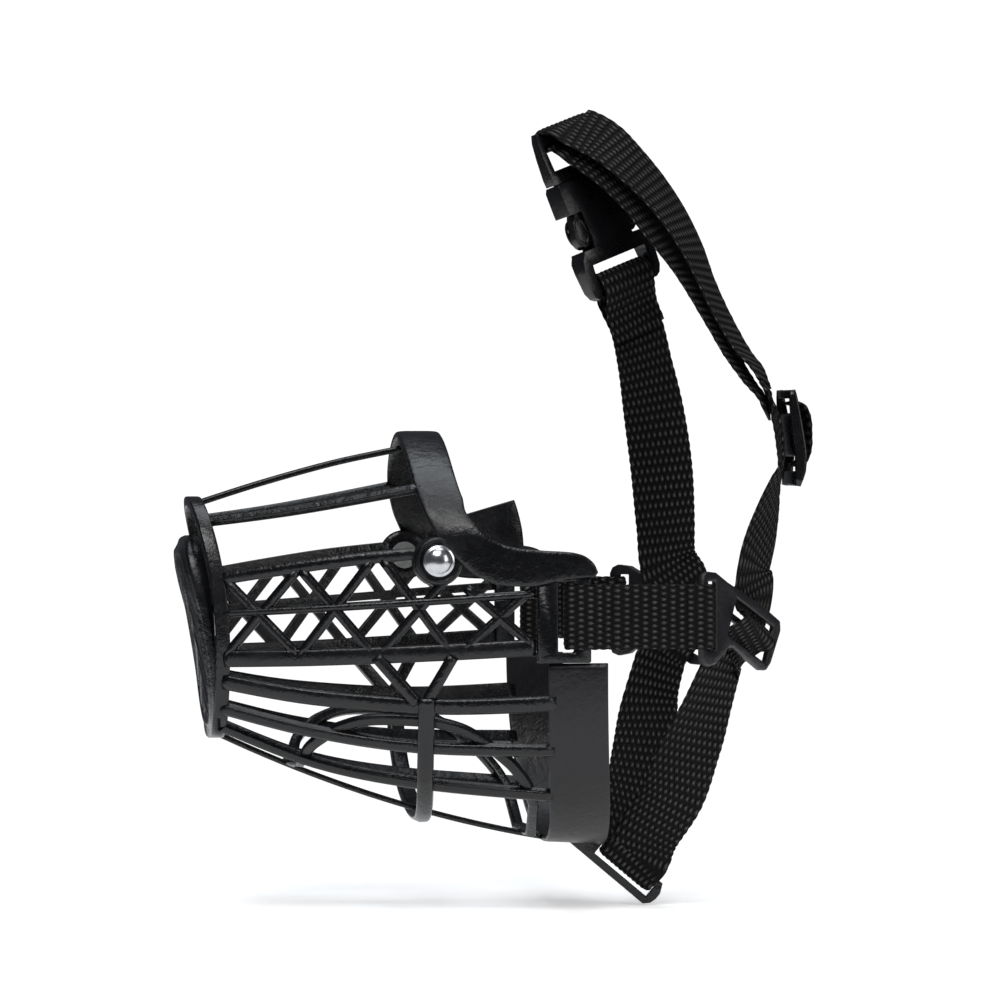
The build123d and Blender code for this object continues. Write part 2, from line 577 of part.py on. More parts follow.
def smooth(knots, acrosses, steps=4):
    """Points of a curve through the knots, so many to each span, and the across direction at each."""
    last = len(knots) - 1
    points, directions = [], []
    for k in range(last):
        before, start, end, after = knots[max(k - 1, 0)], knots[k], knots[k + 1], knots[min(k + 2, last)]
        for i in range(steps + (k == last - 1)):
            f = i / steps
            pull = (end - before) * (f - 2 * f ** 2 + f ** 3) + (after - start) * (f ** 3 - f ** 2)
            points.append(start * (1 - 3 * f ** 2 + 2 * f ** 3) + end * (3 * f ** 2 - 2 * f ** 3) + pull * 0.5)
            directions.append(mix(acrosses[k], acrosses[k + 1], f))
    return points, directions


def mix(a, b, f):
    return (Vector(*a) * (1 - f) + Vector(*b) * f).normalized()


# How the neck strap bends round the tab's upper bar, as (out, up) from the slot's middle.
THROAT_BEND = [(0.05, 0.0), (1.0, 0.0), (1.9, 0.0), (3.7, 1.2), (4.2, 3.6), (5.0, 6.5)]


def throat_bend(side):
    return [slot_mid + Vector(0, side * y, 0) + tab_up * up for y, up in THROAT_BEND]


ACROSS_TAB = (tab_along.X, 0, tab_along.Z)

# Left run of the neck strap: throat slot, left connector, then up past the slide adjuster.
LEFT_RISE = [(31.2, -9.5, -69.0), (37.6, -18.0, -57.0), (41.4, -26.0, -43.0), (45.6, -31.5, -30.0)]
LEFT_ABOVE = [(62.4, -24.0, 14.6), (66.8, -18.0, 26.5), (70.8, -12.6, 37.0), (73.6, -8.8, 46.0),
              (73.4, -5.8, 55.8), (71.8, -3.4, 63.6), (69.9, -1.2, 70.4)]
left_knots = throat_bend(LEFT) + [Vector(*p) for p in LEFT_RISE] + through_window(LEFT, CONNECTOR_LEFT_X)
left_knots += [Vector(*p) for p in LEFT_ABOVE]
left_across = [ACROSS_TAB] * len(THROAT_BEND)
left_across += [mix(ACROSS_TAB, across_left, f) for f in (0.1, 0.22, 0.42, 0.74)] + [across_left] * 7
ACROSS_ADJUSTER = (0.05, 1.0, 0.0)
left_across += [mix(across_left, ACROSS_ADJUSTER, f) for f in (0.08, 0.24, 0.52, 0.86, 0.97, 0.9)] + [(0.26, 0.96, 0.04)]
parts["neck_strap_left"] = ribbon(*smooth(left_knots, left_across))

# Right run: throat slot, right connector, then up to the buckle's socket, where it is folded and sewn.
RIGHT_RISE = [(29.0, 10.0, -68.5), (32.6, 19.0, -55.0), (35.8, 26.0, -41.0), (38.4, 31.5, -28.5)]
RIGHT_ABOVE = [(44.2, 31.4, 14.5), (43.8, 35.0, 28.0), (43.0, 38.0, 45.0), (40.8, 39.0, 62.0), (37.8, 37.6, 77.0),
               (34.4, 34.6, 90.0)]
buckle_down = Vector(*BUCKLE_DOWN).normalized()
buckle_across = Vector(*BUCKLE_ACROSS).normalized()
buckle_face = buckle_down.cross(buckle_across).normalized()
socket_bar = Vector(*BUCKLE_CENTRE) + buckle_down * BUCKLE_BAR
plug_bar = Vector(*BUCKLE_CENTRE) - buckle_down * BUCKLE_BAR
TURN = 3.35          # radius of webbing folded round a strap bar


def fold(bar, degrees):
    """Points round a strap bar: 0 is the buckle's face side, 90 away from the buckle's middle for the socket."""
    spots = []
    for d in degrees:
        r = math.radians(d)
        spots.append(bar + buckle_face * (TURN * math.cos(r)) + buckle_down * (TURN * math.sin(r)))
    return spots


right_knots = throat_bend(RIGHT) + [Vector(*p) for p in RIGHT_RISE]
right_knots += through_window(RIGHT, CONNECTOR_RIGHT_X)
right_knots += [Vector(*p) for p in RIGHT_ABOVE]
right_knots.append(socket_bar + buckle_down * 6.5 - buckle_face * (TURN + 0.2))
right_knots += fold(socket_bar, (180, 225, 270, 315, 360))
right_knots += [socket_bar + buckle_down * 4.0 + buckle_face * 2.6, Vector(32.6, 31.8, 95.6), Vector(35.4, 33.3, 88.6)]
right_across = [ACROSS_TAB] * len(THROAT_BEND)
right_across += [mix(ACROSS_TAB, across_right, f) for f in (0.15, 0.4, 0.7, 0.9)] + [across_right] * 7
right_across += [mix(across_right, (0.96, 0.28, 0.0), f) for f in (0.1, 0.26, 0.5, 0.76)]
right_across += [(0.93, 0.34, 0.08), (0.88, 0.4, 0.22)] + [BUCKLE_ACROSS] * 7 + [(0.87, 0.4, 0.3), (0.9, 0.36, 0.22)]
parts["neck_strap_right"] = ribbon(*smooth(right_knots, right_across))

# Crown strap: the doubled run from the adjuster over the plug's strap bar and back.
CROWN_OUTER = [(69.8, -0.9, 71.4), (67.4, 0.9, 76.4), (63.2, 4.6, 82.6), (58.0, 8.4, 92.6), (53.2, 12.0, 103.8),
               (48.8, 14.8, 114.8), (43.3, 16.6, 125.0), (36.2, 18.0, 134.6), (28.0, 19.6, 143.2), (20.8, 22.2, 149.4)]
CROWN_INNER = [(18.6, 23.4, 144.6), (25.4, 20.6, 138.0), (32.2, 18.6, 129.6), (38.4, 17.0, 120.2), (44.6, 15.0, 111.0),
               (49.9, 12.0, 101.0), (55.2, 8.4, 90.6), (60.0, 4.8, 80.8), (64.4, 1.2, 73.2), (68.4, -1.8, 67.2),
               (70.0, -3.4, 62.0)]
crown_knots = [Vector(*p) for p in CROWN_OUTER] + [plug_bar + buckle_face * 6.0 - buckle_down * 1.4]
crown_knots += fold(plug_bar, (315, 270, 225, 180, 135, 90, 50)) + [plug_bar + buckle_face * 5.6 + buckle_down * 5.0]
crown_knots += [Vector(*p) for p in CROWN_INNER]
outer_across = [(0.26, 0.96, 0.04), (0.3, 0.95, 0.05), (0.33, 0.94, 0.1), (0.34, 0.92, 0.15), (0.33, 0.91, 0.22),
                (0.4, 0.87, 0.27), (0.46, 0.83, 0.3), (0.54, 0.77, 0.33), (0.66, 0.66, 0.34), (0.8, 0.5, 0.34)]
crown_across = outer_across + [BUCKLE_ACROSS] * 9 + outer_across[::-1] + [(0.2, 0.98, 0.02)]
parts["crown_strap"] = ribbon(*smooth(crown_knots, crown_across))

# Side-release buckle. Its own axes: across the strap, towards the plug, and out of its face.
BUCKLE = Plane(origin=BUCKLE_CENTRE, x_dir=buckle_across, z_dir=buckle_face)


def slab(width, low, high, thick, rounded=0.0):
    """Block of the buckle: so wide, from low to high along it, so thick."""
    block = Pos(0, (low + high) / 2, 0) * Box(width, high - low, thick)
    return fillet(block.edges().filter_by(Axis.Y), rounded) if rounded else block


def placed(shape):
    return (BUCKLE * shape).solids()[0]


def profile(stations):
    """Side profile of the buckle: (station along it, half-thickness) pairs, as wide as the strap frame."""
    ring = [(v, t) for v, t in stations] + [(v, -t) for v, t in reversed(stations)]
    face = Face(Wire.make_polygon([(-STRAP_FRAME_WIDTH, v, t) for v, t in ring]))
    return Solid.extrude(face, Vector(2 * STRAP_FRAME_WIDTH, 0, 0))


def outline(points, thick):
    """Plate of the buckle whose right half runs through the points (across, along)."""
    ring = [(u, v) for u, v in points] + [(-u, v) for u, v in reversed(points)]
    return extrude(make_face(Polyline(*ring, close=True)), thick, both=True)


# The socket: a flat sleeve with a notch in each side, and a frame round the strap opening below it.
SOCKET_SIDE = [(12.2, MOUTH), (12.6, 8.6), (12.7, 4.0), (12.7, 0.4), (12.2, -6.0), (12.0, -11.6), (12.6, -13.4),
               (13.8, -15.2), (14.2, -18.6), (14.0, -25.4), (13.2, -27.6), (11.8, -28.6)]
SOCKET_PROFILE = [(MOUTH, 3.7), (8.6, 4.3), (-9.0, 4.3), (-14.0, 3.9), (-19.0, 3.1), (-25.0, 2.5), (-28.6, 1.7)]
socket = outline(SOCKET_SIDE, BUCKLE_THICK) & profile(SOCKET_PROFILE)
socket -= slab(CAVITY[0], -15.0, MOUTH + 1.0, CAVITY[1])
socket -= slab(STRAP_OPENING, -29.0, SOCKET_END, BUCKLE_THICK)
socket += slab(STRAP_OPENING + 2.0, -BUCKLE_BAR - STRAP_BAR / 2, -BUCKLE_BAR + STRAP_BAR / 2, STRAP_BAR)
NOTCH_DEPTH = STRAP_FRAME_WIDTH / 2 - NOTCH_FROM
for u in (-1, 1):
    middle = Pos(u * (NOTCH_FROM + NOTCH_DEPTH / 2), sum(NOTCH) / 2, 0)
    socket -= middle * Box(NOTCH_DEPTH, NOTCH[1] - NOTCH[0], BUCKLE_THICK + 2)
parts["buckle_socket"] = placed(socket)

# The plug: a tapered frame round its strap opening, with a tongue that guides it into the sleeve.
PLUG_SIDE = [(12.4, MOUTH + 0.3), (12.7, 13.0), (12.6, 20.0), (12.2, 25.0), (11.4, 27.6)]
PLUG_PROFILE = [(MOUTH + 0.3, 2.9), (14.0, 2.6), (20.0, 2.1), (27.6, 1.6)]
plug = outline(PLUG_SIDE, BUCKLE_THICK) & profile(PLUG_PROFILE)
plug -= slab(STRAP_OPENING, 14.4, 28.0, BUCKLE_THICK)
plug += slab(19.8, 6.2, MOUTH + 0.4, 5.0)
plug += slab(STRAP_OPENING + 1.8, BUCKLE_BAR - STRAP_BAR / 2, BUCKLE_BAR + STRAP_BAR / 2, STRAP_BAR)
parts["buckle_plug"] = placed(plug)

# The prongs: each a springy arm from the plug that ends in a thumb pad standing out of the notch.
PRONG = [(6.2, 4.6), (9.7, 5.6), (9.7, 0.0), (10.3, -1.2), (10.9, -2.6), (11.4, -4.6), (11.9, -7.0), (12.0, -9.2),
         (11.2, -11.0), (9.8, -12.1), (7.9, -11.4), (6.4, -9.6), (5.9, -4.0)]
for name, u in (("left", -1), ("right", 1)):
    flat = make_face(Polyline(*[(u * x, y) for x, y in PRONG], close=True))
    parts["buckle_prong_" + name] = placed(extrude(flat, PRONG_T / 2, both=True))

# Slide adjuster: a bowed plate with two slots, and the webbing that loops over its middle.
ADJUSTER_LINE = [(75.9, -4, 69.6), (76.6, -4, 64.0), (77.8, -4, 56.0), (78.7, -4, 49.5), (78.5, -4, 44.0), (77.6, -4, 39.6)]
plate = band([Vector(*p) for p in ADJUSTER_LINE], [Vector(1, 0, 0.1)] * 6, ADJUSTER_WIDTH, ADJUSTER_THICK)
slot_w, slot_h = ADJUSTER_SLOT
for z in ADJUSTER_SLOT_Z:
    corner = Plane(origin=(71, -4 - slot_w / 2, z - slot_h / 2))
    plate = cut(plate, Solid.make_box(12, slot_w, slot_h, corner))
parts["slide_adjuster"] = plate
LOOP = [(76.8, -4, 65.4), (79.8, -4, 65.0), (81.8, -4, 61.6), (82.3, -4, 56.4), (82.1, -4, 50.8), (80.6, -4, 47.2),
        (78.2, -4, 46.2)]
LOOP_WIDTH = 19.6
parts["adjuster_loop"] = ribbon(*smooth([Vector(*p) for p in LOOP], [(0, 1, 0)] * len(LOOP)), width=LOOP_WIDTH)

os.makedirs("parts", exist_ok=True)
for node, shape in parts.items():
    export_step(shape, "parts/%s.step" % node)
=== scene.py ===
import math

import bpy
import mathutils
import numpy as np
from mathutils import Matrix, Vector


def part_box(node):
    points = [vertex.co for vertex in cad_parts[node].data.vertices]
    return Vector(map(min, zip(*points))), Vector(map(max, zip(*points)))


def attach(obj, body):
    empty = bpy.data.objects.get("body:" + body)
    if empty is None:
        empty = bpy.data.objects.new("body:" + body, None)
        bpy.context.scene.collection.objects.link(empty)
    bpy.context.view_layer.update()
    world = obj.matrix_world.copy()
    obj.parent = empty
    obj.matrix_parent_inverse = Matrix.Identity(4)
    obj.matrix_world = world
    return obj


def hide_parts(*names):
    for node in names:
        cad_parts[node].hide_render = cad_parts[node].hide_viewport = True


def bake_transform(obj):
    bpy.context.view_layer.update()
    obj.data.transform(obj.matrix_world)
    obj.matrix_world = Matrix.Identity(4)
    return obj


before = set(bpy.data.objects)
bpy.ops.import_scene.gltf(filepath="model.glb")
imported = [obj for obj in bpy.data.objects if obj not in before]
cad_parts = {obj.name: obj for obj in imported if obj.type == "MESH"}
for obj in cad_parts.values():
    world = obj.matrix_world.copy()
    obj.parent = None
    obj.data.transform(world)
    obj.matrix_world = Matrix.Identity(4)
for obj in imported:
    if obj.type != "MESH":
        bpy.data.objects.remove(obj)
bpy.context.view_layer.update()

# ---------------------------------------------------------------------------
# Nose hoop: the rounded ring that closes the front of the basket.
# Black polypropylene, moulded in one shot with the whole cage.
MM = 0.001


def arr(*rows):
    return np.array(rows, float)


def unit(v):
    """Each row divided by its own length."""
    return v / np.maximum(np.linalg.norm(v, axis=-1, keepdims=True), 1e-9)


def skin(name, rings, loop=False, stretch=None):
    """Mesh in metres from rings (stations, points, 3) in millimetres.

    Each ring is joined to the next. Open ends close with a fan to the end ring's middle, a loop's
    last ring joins its first. Faces are turned outwards by the sign of the volume they enclose.
    stretch gives the weave map: distance along at each station and across at each point.
    """
    n, m = rings.shape[:2]
    i, j = np.meshgrid(np.arange(n if loop else n - 1), np.arange(m), indexing="ij")
    a, b = i * m + j, ((i + 1) % n) * m + j
    c, d = ((i + 1) % n) * m + (j + 1) % m, i * m + (j + 1) % m
    quads = np.stack([a, b, c, d], -1).reshape(-1, 4)
    points = rings.reshape(-1, 3)
    fans = []
    if not loop:
        points = np.vstack([points, rings[0].mean(0), rings[-1].mean(0)])
        k = np.arange(m)
        fans = np.vstack([np.stack([k * 0 + n * m, k, (k + 1) % m], -1),
                          np.stack([k * 0 + n * m + 1, (n - 1) * m + (k + 1) % m, (n - 1) * m + k], -1)])
    tri = np.vstack([quads[:, :3], quads[:, [0, 2, 3]]])
    volume = np.einsum("ij,ij->i", points[tri[:, 0]], np.cross(points[tri[:, 1]], points[tri[:, 2]])).sum()
    if volume < 0:
        quads = quads[:, ::-1]
        fans = fans[:, ::-1] if len(fans) else fans
    mesh = bpy.data.meshes.new(name)
    mesh.from_pydata((points * MM).tolist(), [], quads.tolist() + [list(f) for f in fans])
    mesh.polygons.foreach_set("use_smooth", np.ones(len(mesh.polygons), bool))
    if stretch is not None:
        along, across = stretch
        corner = np.zeros(len(mesh.loops), np.int64)
        mesh.loops.foreach_get("vertex_index", corner)
        u = np.append(np.repeat(along, m), [along[0], along[-1]])[corner]
        v = np.append(np.tile(across, n), [0.0, 0.0])[corner]
        layer = mesh.uv_layers.new(name="weave")
        layer.data.foreach_set("uv", np.stack([u, v], -1).ravel())
    mesh.update()
    piece = bpy.data.objects.new(name, mesh)
    bpy.context.scene.collection.objects.link(piece)
    return piece


def settle(piece, body, slot, finish, *nodes):
    """Gives a piece its finish and body, and hides the CAD nodes that it stands for."""
    piece.data.materials.clear()
    piece.data.materials.append(finish)
    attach(piece, body)
    if nodes:
        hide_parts(*nodes)


class Value:
    """A number in a material's nodes. Arithmetic on it adds Math nodes."""

    def __init__(self, finish, socket):
        self.finish, self.socket = finish, socket

    def math(self, operation, *values):
        inputs = {i: v for i, v in enumerate(values)}
        return self.finish.node("ShaderNodeMath", {"operation": operation}, inputs)

    def __add__(self, other):
        return self.math("ADD", self, other)

    def __sub__(self, other):
        return self.math("SUBTRACT", self, other)

    def __rsub__(self, other):
        return self.math("SUBTRACT", other, self)

    def __mul__(self, other):
        return self.math("MULTIPLY", self, other)

    def __truediv__(self, other):
        return self.math("DIVIDE", self, other)

    def __pow__(self, other):
        return self.math("POWER", self, other)

    def clipped(self):
        return self.math("MINIMUM", self.math("MAXIMUM", self, 0.0), 1.0)


class Finish:
    """A material's nodes, made one at a time."""

    def __init__(self, name):
        self.material = bpy.data.materials.new(name)
        self.material.use_nodes = True
        self.tree = self.material.node_tree
        self.tree.nodes.clear()

    def node(self, kind, settings=None, values=None, out=0):
        """Adds a node: its settings first, then its sockets' values or links. Hands out one output."""
        made = self.tree.nodes.new(kind)
        for key, value in (settings or {}).items():
            setattr(made, key, value)
        for key, value in (values or {}).items():
            if isinstance(value, Value):
                self.tree.links.new(value.socket, made.inputs[key])
            else:
                made.inputs[key].default_value = value
        return Value(self, made.outputs[out]) if made.outputs else made

    def noise(self, place, **values):
        """Noise at a place; the values are its inputs by name."""
        return self.node("ShaderNodeTexNoise", {}, {"Vector": place, **values})

    def blended(self, factor, first, second):
        """Colour between two, by a factor."""
        values = {"Factor": factor, 6: (*first, 1), 7: (*second, 1)}
        return self.node("ShaderNodeMix", {"data_type": "RGBA"}, values, out=2)

    def bump(self, height, strength, distance):
        """Bumps of a height, whose depth is a distance in metres."""
        return self.node("ShaderNodeBump", {}, {"Height": height, "Strength": strength, "Distance": distance})

    def surface(self, **values):
        """Principled surface and the material's output."""
        named = {key.replace("_", " "): value for key, value in values.items()}
        shader = self.node("ShaderNodeBsdfPrincipled", {}, named)
        self.node("ShaderNodeOutputMaterial", {}, {"Surface": shader})
        return self.material


def moulded(name, dark, pale, rough, grain, swirl):
    """Black moulded plastic: pits like orange peel, slow flow marks, and dust that dulls it in patches."""
    f = Finish(name)
    place = f.node("ShaderNodeTexCoord", out="Object")
    peel = f.noise(place, Scale=620.0, Detail=3.0, Roughness=0.55)
    flow = f.noise(place, Scale=95.0, Detail=4.0, Distortion=1.6)
    dust = f.noise(place, Scale=38.0, Detail=5.0, Roughness=0.7)
    cells = {"Vector": place, "Scale": 900.0}
    specks = f.node("ShaderNodeTexVoronoi", {"feature": "DISTANCE_TO_EDGE"}, cells)
    dull = ((dust - 0.45) * 4.0).clipped()
    tone = f.blended(dull * 0.6 + flow * 0.25, dark, pale)
    height = peel * grain + flow * swirl + specks * (grain * 0.35)
    bump = f.bump(height, 0.55, 0.0006)
    return f.surface(Base_Color=tone, Roughness=dull * 0.16 + peel * 0.1 + rough, Normal=bump, IOR=1.49,
                     Specular_IOR_Level=0.42)


basket_black = moulded("basket_black", (0.0016, 0.0017, 0.0024), (0.0048, 0.005, 0.0068), 0.21, 0.5, 0.9)

NOSE_X, MIDDLE_X, RIM_X = -101.0, -42.0, -4.0
WIDEST_Z = -8.0
WALL_POWER = 2.3


def between(x, nose, middle, rim):
    """Parabola through a value at the nose, one at the cross hoop and one at the rim."""
    a = (x - MIDDLE_X) * (x - RIM_X) / ((NOSE_X - MIDDLE_X) * (NOSE_X - RIM_X))
    b = (x - NOSE_X) * (x - RIM_X) / ((MIDDLE_X - NOSE_X) * (MIDDLE_X - RIM_X))
    c = (x - NOSE_X) * (x - MIDDLE_X) / ((RIM_X - NOSE_X) * (RIM_X - MIDDLE_X))
    return a * nose + b * middle + c * rim


def half_width(x):
    return between(np.minimum(x, 8.0), 27.0, 44.0, 49.0)


def keel_z(x):
    return between(np.minimum(x, 8.0), -38.0, -60.5, -69.5)


def wall_y(x, z):
    """Half-width of the wall: upright above its widest height, a superellipse down to the keel below it."""
    depth = np.clip((WIDEST_Z - z) / (WIDEST_Z - keel_z(x)), 0.0, 0.9995)
    return half_width(x) * (1 - depth ** WALL_POWER) ** (1 / WALL_POWER)


def outward(p):
    """Direction out of the basket: sideways with y, down with the depth below the widest height."""
    return unit(np.stack([p[:, 0] * 0 - 0.18, p[:, 1] / 48, np.minimum(0, p[:, 2] - WIDEST_Z) / 62], -1))


def signed(c, power):
    """c to a power, keeping its sign."""
    return np.sign(c) * np.abs(c) ** power


def spline(knots, steps=8):
    """Smooth run through the knots: each span is a cubic whose end slopes are half the step past it."""
    k = np.vstack([knots[:1], knots, knots[-1:]])
    f = np.arange(steps)[None, :, None] / steps
    p0, p1, p2, p3 = k[:-3, None], k[1:-2, None], k[2:-1, None], k[3:, None]
    run = p1 * (1 - 3 * f ** 2 + 2 * f ** 3) + p2 * (3 * f ** 2 - 2 * f ** 3)
    run = run + ((p2 - p0) * (f - 2 * f ** 2 + f ** 3) + (p3 - p1) * (f ** 3 - f ** 2)) / 2
    return np.vstack([run.reshape(-1, knots.shape[1]), knots[-1:]])


def carried(path, out, width, thick, square=0.3, ridge=0.0, points=28, loop=False):
    """Rings of a bar: a rounded rectangle carried along a path, its face towards out.

    Across is cos of the angle and depth is its sin, each to the power square, so a small power gives
    square corners. ridge raises the middle of the outer face, by that share of the thickness.
    """
    run = np.roll(path, -1, 0) - np.roll(path, 1, 0) if loop else np.gradient(path, axis=0)
    run = unit(run)
    side = unit(np.cross(out, run))
    up = np.cross(run, side)
    angle = np.arange(points) / points * 2 * np.pi
    c, d = signed(np.cos(angle), square), signed(np.sin(angle), square)
    d = d + ridge * np.maximum(0, np.sin(angle)) ** 0.5 * (1 - np.abs(c)) * 2
    w, t = np.broadcast_to(width, len(path))[:, None, None], np.broadcast_to(thick, len(path))[:, None, None]
    wide, deep = c[None, :, None] * w / 2, d[None, :, None] * t / 2
    return path[:, None] + side[:, None] * wide + up[:, None] * deep


def hoop_x(z):
    """The hoop leans forward above the chin."""
    return -103.2 - 0.003224 * np.maximum(0.0, z + 12) ** 2


HOOP_WIDE, HOOP_ABOVE, HOOP_BELOW = 27.0, 35.0, 37.0
angle = np.arange(96) / 96 * 2 * np.pi
hoop_y = HOOP_WIDE * signed(np.cos(angle), 0.75)
hoop_z = np.where(np.sin(angle) > 0, HOOP_ABOVE, HOOP_BELOW) * signed(np.sin(angle), 0.85)
hoop_path = np.stack([hoop_x(hoop_z), hoop_y, hoop_z], -1)
hoop_tall = (HOOP_ABOVE + HOOP_BELOW) / 2
hoop_out = unit(np.stack([hoop_y * 0, hoop_y / HOOP_WIDE ** 2, hoop_z / hoop_tall ** 2], -1))
settle(skin("nose_hoop_moulding", carried(hoop_path, hoop_out, 4.4, 3.0, loop=True), loop=True),
       "basket", "basket_plastic", basket_black, "nose_hoop")

# ---------------------------------------------------------------------------
# Nose plate: the thick shield over the front of the hoop, with a bead round its edge and moulded ribs.
# Same moulding as the hoop.
PLATE_Z = -7.0             # height of the plate's middle
CHEVRON_PITCH = 9.0
edge = np.arange(120) / 120 * 2 * np.pi
plate_y = 23.4 * signed(np.cos(edge), 0.62)
plate_z = PLATE_Z + 31.4 * signed(np.sin(edge), 0.6)
PLATE_FRONT = arr(
    (-40, -104.0), (-36.5, -105.2), (-34.6, -106.0), (-27.8, -106.6), (-19.4, -107.4),
    (-12.5, -108.4), (-5.4, -109.6), (1.2, -110.8), (8.3, -112.8), (13.9, -114.2), (19.5, -115.2),
    (23.0, -114.9), (26, -113.6))


def plate_ring(reach, front, inset=0.0):
    """Ring of the plate: reach is the share of the way from its middle to its edge."""
    y, z = plate_y * reach, PLATE_Z + (plate_z - PLATE_Z) * reach
    face = np.interp(z, PLATE_FRONT[:, 0], PLATE_FRONT[:, 1]) + 1.3 * reach ** 6
    slanted = np.abs(y) * 0.9 + z - PLATE_Z
    off_rib = slanted - CHEVRON_PITCH * np.round(slanted / CHEVRON_PITCH)
    chevron = 0.5 * np.exp(-(off_rib / 1.1) ** 2)
    bead = 0.8 * np.exp(-((reach - 0.86) / 0.05) ** 2)
    face = face - (chevron * (reach < 0.78) + bead)
    back = hoop_x(z) - 2.3
    return np.stack([np.where(front, face + inset, back), y, z], -1)


shares = np.concatenate([np.linspace(0.02, 0.9, 34), [0.94, 0.97, 0.985]])
plate = [plate_ring(s, True) for s in shares]
plate += [plate_ring(0.998, True, 0.7), plate_ring(1.0, True, 1.6), plate_ring(1.0, False),
          plate_ring(0.02, False)]
settle(skin("nose_plate_moulding", np.array(plate)), "basket", "basket_plastic", basket_black, "nose_plate")

# ---------------------------------------------------------------------------
# Top bars: three slim bars from the hoop back to the arch, open between them for the nose.
# Same moulding; the middle one is the thinnest.
TOP_BARS = {
    "centre": (arr((-108.8, 0, 34.3), (-89, 0, 40.6), (-66, 0, 46.9), (-45.4, 0, 51.2)), 4.0, 2.0),
    "left": (arr((-108.2, -17.3, 28.7), (-80, -26.0, 32.6), (-43.2, -36.4, 39.4)), 3.0, 2.6),
    "right": (arr((-108.2, 17.3, 28.7), (-80, 26.0, 32.6), (-43.2, 36.4, 39.4)), 3.0, 2.6),
}
for side_name, (knots, width, thick) in TOP_BARS.items():
    path = spline(knots)
    up = unit(np.stack([path[:, 0] * 0, np.sign(path[:, 1]) * 0.6, path[:, 0] * 0 + 0.8], -1))
    settle(skin("top_bar_%s_moulding" % side_name, carried(path, up, width, thick, 0.55)),
           "basket", "basket_plastic", basket_black, "top_bar_" + side_name)

# ---------------------------------------------------------------------------
# Nose arch: one springy strip over the bridge of the nose that turns back into an arm on each side.
# Moulded apart in the same black plastic, riveted to the cage through the lobe at each bend.
ARM_OUT = 2.7              # how far the arm's middle stands outside the cage's wall
CHEEK_Z, ARCH_RISE = 24.0, 31.6
RIVET_X, RIVET_Z = -39.1, 17.2


def arch_y(x, z):
    """Half-width of the strip: a superellipse of power 1.6 above the cheeks, the cage's own wall below."""
    rise = np.clip((z - CHEEK_Z) / ARCH_RISE, 0, 1)
    return (half_width(x) + ARM_OUT) * (1 - rise ** 1.6) ** 0.625


top = np.radians(np.linspace(90, 27, 26))
arch_z = CHEEK_Z + ARCH_RISE * np.sin(top) ** 1.25
lean = 52.0 - arch_z
arch_x = -39.9 + 0.06 * lean + 0.0003 * lean ** 3
front_edge = np.vstack([np.stack([arch_x - 6.7, arch_z], -1), arr(
    (-42.6, 30.6), (-40.9, 27.0), (-39.2, 23.9), (-36.3, 20.4), (-33.2, 17.4), (-30.8, 15.1),
    (-28, 12.9), (-25.3, 11.4), (-20.9, 9.9), (-15.7, 9.4), (-10.6, 9.4), (-6.4, 10.2), (-2.4, 11.2),
    (3.6, 11.9), (8.2, 12.3))])
rear_edge = np.vstack([np.stack([arch_x + 6.7, arch_z], -1), arr(
    (-30.6, 32.2), (-29.2, 30.0), (-27.4, 27.7), (-25.4, 25.6), (-22.9, 23.7), (-20.0, 22.3),
    (-17.0, 21.4), (-13.8, 20.9), (-10.0, 20.6), (-6.0, 20.3), (-2.0, 20.1), (2.0, 19.7), (5.4, 18.6),
    (8.0, 16.4), (9.2, 13.8))])
strip_rows = spline(np.hstack([front_edge, rear_edge]), 3)
around = np.arange(40) / 40 * 2 * np.pi
share = signed(np.cos(around), 0.45)[None, :]
depth = signed(np.sin(around), 0.45)[None, :]


def arch_side(side):
    """Half of the strip: side-view edges, thrown out to the arch's half-width, with rounded edges."""
    x = (strip_rows[:, 0:1] * (1 - share) + strip_rows[:, 2:3] * (1 + share)) / 2
    z = (strip_rows[:, 1:2] * (1 - share) + strip_rows[:, 3:4] * (1 + share)) / 2
    y = arch_y(x, z)
    slope = (arch_y(x, z + 0.05) - arch_y(x, z - 0.05)) / 0.1
    slope_x = (arch_y(x + 0.05, z) - arch_y(x - 0.05, z)) / 0.1
    flat = np.clip(-slope, 0, 40)
    normal = unit(np.stack([-slope_x, y * 0 + 1, flat], -1))
    normal = np.where((y < 0.5)[..., None], arr(0, 0, 1), normal)
    p = np.stack([x, y, z], -1) + normal * (depth * 1.2)[..., None]
    p[..., 1] = np.maximum(p[..., 1], 0) * side
    return p


arch_rings = np.vstack([arch_side(-1)[::-1], arch_side(1)[1:]])
settle(skin("nose_arch_moulding", arch_rings), "basket", "basket_plastic", basket_black, "nose_arch")

TURN = np.arange(64) / 64 * 2 * np.pi


def turned(profile, side, middle):
    """Rings of a turned shape about an axis along Y: profile rows are (radius, distance out)."""
    r, out = profile[:, 0:1], profile[:, 1:2]
    x, z = middle[0] + r * np.cos(TURN), middle[2] + r * np.sin(TURN)
    return np.stack([x, side * (middle[1] + out + x * 0), z], -1)


